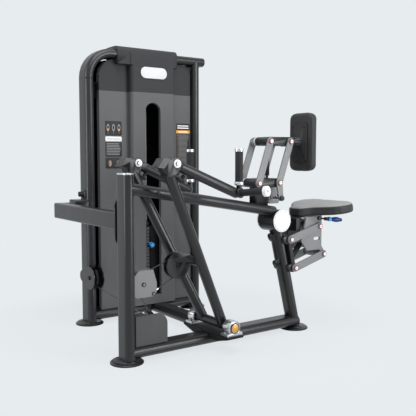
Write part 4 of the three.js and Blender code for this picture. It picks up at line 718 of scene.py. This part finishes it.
# Selector knob with a ringed face, knobs of the leg latch and of the chest pop pin, swaged end of the
# cable at its anchor bolt, and the blanking plug in the upper tube
singles = {
    "selector_knob": {
        "place": (0.530, 0.6895, 0.4035), "axis": (0, -1, 0), "radius": 0.0158, "depth": 0.0225,
        "steps": [(0.004, 0), (0.0012, -0.0016), (0.003, 0), (0.0012, 0.0014)], "finish": bluePlastic,
        "corners": 48, "edge": 0.0022, "body": "selector", "slot": "blue_plastic",
    },
    "latch_knob": {
        "place": (0.1215, 0.700, 0.707), "axis": (-1, 0, 0), "radius": 0.0138, "depth": 0.0215,
        "steps": [(0.004, 0), (0.002, 0.0012)], "finish": blackPlastic,
        "corners": 32, "edge": 0.002, "body": "frame", "slot": "black_steel",
    },
    "pop_pin_knob": {
        "place": (0.842, -0.0702, 0.698), "axis": (0, -1, 0), "radius": 0.0128, "depth": 0.0086,
        "steps": [(0.0026, 0), (0.0022, 0.0012)], "finish": blackPlastic,
        "corners": 40, "edge": 0.0018, "body": "chest_rear_link", "slot": "bright_steel",
    },
    "cable_swage": {
        "place": (0.138, 0.0, 0.2991), "axis": (0.888, 0, 0.4598), "radius": 0.0052, "depth": 0.026,
        "steps": [(0.0012, 0.002)], "finish": zincSteel,
        "corners": 24, "edge": 0.0005, "body": "frame", "slot": "bright_steel",
    },
    "tube_plug": {
        "place": (0.137, -0.0494, 0.7475), "axis": (0, -1, 0), "radius": 0.0095, "depth": 0.0022,
        "steps": [(0.003, 0.0006)], "finish": blackPlastic,
        "corners": 32, "edge": 0.0006, "body": "frame", "slot": "black_steel",
    },
}
for name, look in singles.items():
    rideOn(turned(name, look["place"], look["axis"], look, look["finish"]), look["body"])

# Bolt heads on both sides of the pulley guards: x and z of each and its radius
guardBolt = {
    "face": 0.0166, "depth": 0.0048, "corners": 6, "edge": 0.0005, "rimShare": 0.3, "hollow": (0.0004, -0.0012),
}
guardBolts = {
    "column_guard_bolts": ("frame", ((0.079, 0.342, 0.0105), (0.130, 0.295, 0.0092))),
    "swing_guard_bolts": ("swing", ((0.261, 0.409, 0.0105),)),
}
for label, (body, places) in guardBolts.items():
    parts = []
    for x, z, radius in places:
        look = dict(guardBolt, radius=radius, steps=[(radius * guardBolt["rimShare"], 0), guardBolt["hollow"]])
        for side in (-1, 1):
            place = (x, side * guardBolt["face"], z)
            parts.append(turned(label + "part", place, (0, side, 0), look, boltSteel))
    rideOn(joined(label, parts), body)
legBolt = {
    "x": 0.155, "y": 0.645, "z": 0.262, "face": 0.0304, "radius": 0.0108, "depth": 0.0056, "corners": 6,
    "edge": 0.0005, "steps": [(0.003, 0), (0.0004, -0.0012)],
}
legBolts = []
for side in (-1, 1):
    place = (legBolt["x"] + side * legBolt["face"], legBolt["y"], legBolt["z"])
    legBolts.append(turned("legBolt", place, (side, 0, 0), legBolt, boltSteel))
rideOn(joined("leg_guard_bolts", legBolts), "frame")

# Screws through the back plate of the chest pad
screw = {
    "x": 1.0198, "z": 0.9815, "apartY": 0.040, "apartZ": 0.078, "radius": 0.0044, "depth": 0.0024, "corners": 20,
    "edge": 0.0005, "steps": [(0.0016, 0), (0.0003, -0.001)],
}
screws = []
for across in (-1, 1):
    for up in (-1, 1):
        place = (screw["x"], across * screw["apartY"], screw["z"] + up * screw["apartZ"])
        screws.append(turned("screw", place, (-1, 0, 0), screw, boltSteel))
rideOn(joined("back_plate_screws", screws), "chest_rest")

# Oval badge plate, left bare, in its dark rim
badge = {
    "left": 0.444, "right": 0.621, "low": 1.331, "high": 1.402, "face": 0.645, "rimFront": 0.0016,
    "rimBack": 0.0001, "rimRound": 0.0352, "rimEdge": 0.0006, "inset": 0.005, "fieldFront": 0.0034,
    "fieldBack": 0.0014, "fieldRound": 0.0302, "fieldEdge": 0.0008,
}


def badgeLayer(name, part, inset, finish):
    return roundedPlate(
        name, (badge["left"] + inset, badge["face"] - badge[part + "Front"], badge["low"] + inset),
        (badge["right"] - inset, badge["face"] - badge[part + "Back"], badge["high"] - inset), 1,
        badge[part + "Round"], finish, badge[part + "Edge"],
    )


rim = badgeLayer("rim", "rim", 0.0, blackPlastic)
field = badgeLayer("field", "field", badge["inset"], badgePlastic)
rideOn(joined("badge_plate", [rim, field]), "frame")

# Instruction cards with plain marks: rings, dots and rules, and no words
cards = {
    "dark": rgb(44, 42, 43), "pale": rgb(248, 248, 249), "amber": rgb(255, 176, 46), "rule": rgb(172, 172, 173),
    "skin": rgb(196, 170, 156), "rough": (0.36, 0.48, 50.0), "gloss": 0.2, "grain": 300.0, "strength": 0.2,
    "height": 0.0003, "face": 0.685, "thick": 0.0009, "behind": 0.0001, "edge": 0.0002,
}
leftCards = {
    "x": (0.2505, 0.3495), "z": ((1.0205, 1.0975), (0.988, 1.0145), (0.906, 0.984), (0.841, 0.9)), "round": 0.006,
}
rightCard = {"x": (0.704, 0.7975), "z": (0.828, 1.0965), "round": 0.005}
ragged = {"last": 0.03, "overlap": 0.0001, "scale": 26.0, "wander": 0.045, "back": 0.026, "startShare": 0.3}
rings = {
    "pitch": 0.033, "middle": 0.0165, "z": 0.042, "wide": 2.2, "tall": 0.45, "line": (0.00006, 0.00016),
    "lineShare": 0.75, "standHalf": 0.001, "standZ": (0.008, 0.03), "standShare": 0.6, "spotZ": 0.031,
    "spot": 0.00003, "spotFree": (0.285, 0.317),
}
leftMarks = {
    "line": {"x": (0.262, 0.338), "z": (1.0005, 1.0025), "share": 0.8},
    "rows": {"x": (0.257, 0.342), "z": (0.912, 0.978), "pitch": 0.0085, "width": 0.0036, "share": 0.7},
}
sketch = {
    "pitch": 0.0495, "middle": 0.027, "z": 0.869, "wide": 2.0, "tall": 0.6, "size": 0.00016,
    "span": (0.85, 0.89), "scale": 60.0, "share": 1.4,
}
rightMarks = {
    "heading": {"x": (0.712, 0.790), "z": (1.064, 1.090), "pitch": 0.0125, "width": 0.0062, "share": 1.0},
    "rows": {"x": (0.719, 0.790), "z": (0.836, 1.034), "pitch": 0.0071, "width": 0.003, "share": 0.55},
    "band": (1.040, 1.0575), "core": {"x": (0.720, 0.782), "z": (1.0445, 1.0535), "share": 0.7},
    "dots": {"x": 0.7115, "low": 0.836, "pitch": 0.0142, "middle": 0.007, "spot": 0.0000045, "top": 1.035},
}


def inBox(finish, box):
    return within(finish.x, *box["x"]) * within(finish.z, *box["z"]) * box["share"]


def ruledRows(finish, rows):  # printed lines whose last part ends raggedly
    left, right = rows["x"]
    low, high = rows["z"]
    start = rows["pitch"] * ragged["startShare"]
    line = within((finish.z - low) % rows["pitch"], start, start + rows["width"])
    turn = right - ragged["last"]
    wander = finish.noise(ragged["scale"], 0.0) * ragged["wander"]
    last = within(finish.x, turn - ragged["overlap"], right) * (finish.x < wander + right - ragged["back"])
    return line * within(finish.z, low, high) * (within(finish.x, left, turn) + last) * rows["share"]


def ringMarks(finish):  # three rings on stands, with a spot in the outer two
    aside = (finish.x - leftCards["x"][0]) % rings["pitch"] - rings["middle"]
    up = finish.z - leftCards["z"][0][0]
    far = aside.squared() * rings["wide"] + (up - rings["z"]).squared() * rings["tall"]
    stand = (aside.absolute() < rings["standHalf"]) * within(up, *rings["standZ"])
    spot = aside.squared() + (up - rings["spotZ"]).squared() < rings["spot"]
    innerFrom, innerTo = rings["spotFree"]
    return within(far, *rings["line"]), stand, spot * ((finish.x < innerFrom) + (finish.x > innerTo))


def sketchMarks(finish):  # two blurred figures on the lowest card
    aside = (finish.x - leftCards["x"][0]) % sketch["pitch"] - sketch["middle"]
    far = aside.squared() * sketch["wide"] + (finish.z - sketch["z"]).squared() * sketch["tall"]
    figure = (far < sketch["size"]) * within(finish.z, *sketch["span"])
    return figure * finish.noise(sketch["scale"], 1.0) * sketch["share"]


def dotMarks(finish):  # a column of dots beside the rows
    dots = rightMarks["dots"]
    up = (finish.z - dots["low"]) % dots["pitch"] - dots["middle"]
    spot = up.squared() + (finish.x - dots["x"]).squared() < dots["spot"]
    return spot * (finish.z < dots["top"])


def printed(finish, marks):  # marks laid one over another on the dark card
    tone = cards["dark"]
    for share, colour in marks:
        tone = finish.blend(share, tone, cards[colour])
    finish.set(Base_Color=tone, Roughness=finish.spread(*cards["rough"]), Specular_IOR_Level=cards["gloss"])
    finish.bump(finish.noise(cards["grain"]), cards["strength"], cards["height"])
    return finish.material


def leftPrint():
    finish = Finish("left_card_print")
    ring, stand, spot = ringMarks(finish)
    return printed(finish, [
        (ring * rings["lineShare"], "rule"), (stand * rings["standShare"], "rule"), (spot, "amber"),
        (within(finish.z, *leftCards["z"][1]), "pale"), (inBox(finish, leftMarks["line"]), "dark"),
        (ruledRows(finish, leftMarks["rows"]), "rule"), (sketchMarks(finish), "skin"),
    ])


def rightPrint():
    finish = Finish("right_card_print")
    return printed(finish, [
        (ruledRows(finish, rightMarks["heading"]), "pale"), (within(finish.z, *rightMarks["band"]), "amber"),
        (inBox(finish, rightMarks["core"]), "pale"), (dotMarks(finish), "amber"),
        (ruledRows(finish, rightMarks["rows"]), "rule"),
    ])


def card(name, across, up, rounding, finish):
    low = (across[0], cards["face"] - cards["thick"], up[0])
    high = (across[1], cards["face"] - cards["behind"], up[1])
    return roundedPlate(name, low, high, 1, rounding, finish, cards["edge"])


leftFinish = leftPrint()
leftPlates = [card("card", leftCards["x"], up, leftCards["round"], leftFinish) for up in leftCards["z"]]
rideOn(joined("left_cards", leftPlates), "frame")
rideOn(card("right_card", rightCard["x"], rightCard["z"], rightCard["round"], rightPrint()), "frame")
print("badge and cards made")

# Small tags, one on each plate, each with a hole beside the selector holes that is a dark spot of painted shade, not
# cut
tag = {
    "left": 0.507, "right": 0.522, "front": 0.6927, "thick": 0.0008, "pitch": 0.019, "low": 0.090, "tall": 0.0128,
    "lift": 0.0021, "round": 0.002, "roundSteps": 3, "holeX": 0.5145, "holeUp": 0.0085, "hole": 0.000016,
    "plain": rgb(104, 105, 106), "deep": rgb(16, 16, 17), "rough": (0.35, 0.5, 60.0), "grain": 240.0,
    "strength": 0.2, "height": 0.0003,
}


def tagFinish():
    finish = Finish("plate_tag")
    up = (finish.z - tag["low"]) % tag["pitch"] - tag["holeUp"]
    # painted shade: a dark spot stands for the hole
    hole = up.squared() + (finish.x - tag["holeX"]).squared() < tag["hole"]
    finish.set(Base_Color=finish.blend(hole, tag["plain"], tag["deep"]), Roughness=finish.spread(*tag["rough"]))
    finish.bump(finish.noise(tag["grain"]), tag["strength"], tag["height"])
    return finish.material


plateTag = tagFinish()
platesOf = {"resting": ("frame", range(16)), "lifted": ("stack", range(16, 22))}
for label, (body, plates) in platesOf.items():
    lows = [tag["low"] + index * tag["pitch"] + tag["lift"] for index in plates]
    tags = [
        roundedPlate(
            "tag", (tag["left"], tag["front"] - tag["thick"], low), (tag["right"], tag["front"], low + tag["tall"]), 1,
            tag["round"], plateTag, 0.0, tag["roundSteps"],
        )
        for low in lows
    ]
    rideOn(joined("plate_tags_" + label, tags), body)

# Release lever: a black stem, a bright blue collar and a deep blue grip that thins to its tip
lever = {"from": (1.182, -0.0795, 0.5745), "to": (1.248, -0.097, 0.568)}
leverCollar = {"back": 0.012, "radius": 0.0118, "depth": 0.016, "corners": 32, "edge": 0.002, "steps": [(0.002, 0)]}
leverGrip = {"half": (0.0114, 0.0138, 0.0345), "along": 0.0355, "around": 32, "rings": 16}
leverSleeve = {"back": 0.034, "radius": 0.0094, "depth": 0.023, "corners": 24, "edge": 0.001, "steps": [(0.002, 0)]}
leverStart = Vector(lever["from"])
leverWay = (Vector(lever["to"]) - leverStart).normalized()
collar = turned("levercollar", leverStart - leverWay * leverCollar["back"], leverWay, leverCollar, brightBlue)
bpy.ops.object.select_all(action="DESELECT")
bpy.ops.mesh.primitive_uv_sphere_add(segments=leverGrip["around"], ring_count=leverGrip["rings"], radius=1)
grip = bpy.context.object
grip.data.materials.append(deepBlue)
grip.scale = leverGrip["half"]
grip.rotation_mode = "QUATERNION"
grip.rotation_quaternion = leverWay.to_track_quat("Z", "Y")
grip.location = leverStart + leverWay * leverGrip["along"]
settle(grip)
bpy.ops.object.shade_smooth()
sleeve = turned("leversleeve", leverStart - leverWay * leverSleeve["back"], leverWay, leverSleeve, blackPlastic)
rideOn(joined("lever_grip", [collar, grip, sleeve]), "lever")

# Slide block under the nose of the seat, between its cheeks
slideBlock = {"low": (0.9685, -0.046, 0.5195), "high": (0.9985, 0.046, 0.5885), "round": 0.006, "edge": 0.0012}
slide = roundedPlate(
    "seat_slide_block", slideBlock["low"], slideBlock["high"], 1, slideBlock["round"], blackPlastic,
    slideBlock["edge"],
)
rideOn(slide, "seat")
print("tags, lever grip and slide block made")

# Cushions: the pad's own form, remeshed, blown up as cloth and smoothed
cushions = {
    "seat_pad": {
        "body": "seat", "shrink": 0.985, "voxel": 0.0055, "cap": 0.0028, "floor": 0.007, "finish": seatVinylPaintedLight,
        "axis": 2, "slope": seatForm["tilt"],
    },
    "chest_pad": {
        "body": "chest_rest", "shrink": 0.98, "voxel": 0.005, "cap": 0.0022, "floor": 0.006, "finish": chestVinyl,
        "axis": 0, "slope": 0.0,
    },
}
stuffing = {"pressure": 4.0, "stiffness": 18, "quality": 5, "frames": 20, "smooth": 0.5, "rounds": 3, "fill": 0.8}


def aboveBoard(co, setup):  # how far a point lies from the board that the cushion rests on, up to one constant
    return co[setup["axis"]] - (co.x - seatForm["nose"]) * setup["slope"]


def inflate(obj, setup):
    rest = [vertex.co.copy() for vertex in obj.data.vertices]
    cloth = obj.modifiers.new("stuffing", "CLOTH")
    cloth.settings.use_pressure = True
    cloth.settings.uniform_pressure_force = stuffing["pressure"]
    cloth.settings.effector_weights.gravity = 0
    cloth.settings.quality = stuffing["quality"]
    cloth.settings.tension_stiffness = stuffing["stiffness"]
    cloth.settings.compression_stiffness = stuffing["stiffness"]
    cloth.point_cache.frame_start = 1
    cloth.point_cache.frame_end = stuffing["frames"]
    board = obj.vertex_groups.new(name="board")
    top = min(aboveBoard(co, setup) for co in rest) + setup["floor"]
    board.add([i for i, co in enumerate(rest) if aboveBoard(co, setup) < top], 1.0, "ADD")
    cloth.settings.vertex_group_mass = "board"
    for step in range(1, stuffing["frames"] + 1):
        bpy.context.scene.frame_set(step)
    bpy.context.view_layer.update()
    blown = obj.evaluated_get(bpy.context.evaluated_depsgraph_get()).to_mesh()
    moved = [vertex.co.copy() for vertex in blown.vertices]
    obj.modifiers.remove(cloth)
    for vertex, start, end in zip(obj.data.vertices, rest, moved):
        shift = end - start
        if shift.length > setup["cap"]:
            shift *= setup["cap"] / shift.length
        vertex.co = start + shift
    bpy.context.scene.frame_set(1)


for name, setup in cushions.items():
    cushion = copyOf(name, name + "_cushion")
    low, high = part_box(name)
    middle = (low + high) / 2
    keep = Matrix.Scale(setup["shrink"], 4)
    cushion.data.transform(Matrix.Translation(middle) @ keep @ Matrix.Translation(-middle))
    remesh = cushion.modifiers.new("cloth", "REMESH")
    remesh.mode = "VOXEL"
    remesh.voxel_size = setup["voxel"]
    bpy.ops.object.modifier_apply(modifier="cloth")
    inflate(cushion, setup)
    smoothing = cushion.modifiers.new("round", "SMOOTH")
    smoothing.factor = stuffing["smooth"]
    smoothing.iterations = stuffing["rounds"]
    bpy.ops.object.modifier_apply(modifier="round")
    finer = cushion.modifiers.new("finer", "SUBSURF")
    finer.levels = 1
    finer.render_levels = 1
    bpy.ops.object.modifier_apply(modifier="finer")
    bpy.ops.object.shade_smooth()
    cushion.data.materials.clear()
    cushion.data.materials.append(setup["finish"])
    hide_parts(name)
    rideOn(cushion, setup["body"])
    print("cushion", name, len(cushion.data.polygons), "faces")

# Floor and daylight in the colour of the backdrop, and soft lamps on both sides and above
studio = {
    "background": rgb(231, 236, 239), "ambient": 0.33, "floorHalf": 14.0, "floorZ": -0.0005, "floorTone": 0.95,
    "floorRough": 0.9, "centre": (0.5, 0.3), "edge": 0.9, "clear": 1.3, "plain": 0.86,
}


def seenDirectly(tree):  # by the camera, or as a reflection or through glass
    path = tree.nodes.new("ShaderNodeLightPath")
    direct, glossy, through = (
        Wire(tree, path.outputs[name]) for name in ("Is Camera Ray", "Is Glossy Ray", "Is Transmission Ray")
    )
    return direct + glossy + through


bpy.ops.object.select_all(action="DESELECT")
bpy.ops.mesh.primitive_plane_add(size=studio["floorHalf"] * 2, location=(0, 0, studio["floorZ"]))
floor = bpy.context.object
floor.name = "floor"
settle(floor)
floorFinish = Finish("floor_paint")
floorFinish.set(Base_Color=shade(studio["background"], studio["floorTone"]), Roughness=studio["floorRough"])
glow = floorFinish.start.node("Emission", {}, {"Color": studio["background"], "Strength": 1.0})
middleX, middleY = studio["centre"]
away = ((floorFinish.x - middleX).squared() + (floorFinish.y - middleY).squared()).root()
faded = floorFinish.start.node(
    "MapRange", {"clamp": True},
    {"Value": away, "From Min": studio["edge"], "From Max": studio["clear"], "To Min": studio["plain"], "To Max": 1.0},
)
mixed = floorFinish.start.node(
    "MixShader", {},
    {0: seenDirectly(floorFinish.tree) * faded, 1: Wire(floorFinish.tree, floorFinish.shader.outputs[0]), 2: glow},
)
floorFinish.tree.links.new(mixed.socket, floorFinish.tree.nodes["Material Output"].inputs["Surface"])
floor.data.materials.append(floorFinish.material)

world = bpy.data.worlds.new("studio")
bpy.context.scene.world = world
world.use_nodes = True
sky = Wire(world.node_tree)
soft = world.node_tree.nodes["Background"]
soft.inputs["Color"].default_value = (1, 1, 1, 1)
soft.inputs["Strength"].default_value = studio["ambient"]
bright = sky.node("Background", {}, {"Color": studio["background"], "Strength": 1.0})
both = sky.node(
    "MixShader", {}, {0: seenDirectly(world.node_tree), 1: Wire(world.node_tree, soft.outputs[0]), 2: bright}
)
world.node_tree.links.new(both.socket, world.node_tree.nodes["World Output"].inputs["Surface"])

lamps = {
    "top": {"place": (0.2, -0.6, 3.4), "aim": (0.6, 0.1, 0.6), "wide": 2.4, "tall": 2.4, "power": 62},
    "left": {"place": (-2.7, 1.2, 1.5), "aim": (0.4, 0.1, 0.8), "wide": 1.0, "tall": 2.6, "power": 45},
    "right": {"place": (2.2, -3.0, 1.4), "aim": (0.6, 0.1, 0.7), "wide": 1.4, "tall": 2.4, "power": 75},
}
for label, lamp in lamps.items():
    light = bpy.data.lights.new(label + "_lamp", "AREA")
    light.shape = "RECTANGLE"
    light.size = lamp["wide"]
    light.size_y = lamp["tall"]
    light.energy = lamp["power"]
    holder = bpy.data.objects.new(label + "_lamp", light)
    bpy.context.scene.collection.objects.link(holder)
    holder.location = lamp["place"]
    outward = Vector(lamp["place"]) - Vector(lamp["aim"])
    holder.rotation_euler = outward.to_track_quat("Z", "Y").to_euler()
bpy.context.scene.view_settings.view_transform = "Standard"
print("studio set")
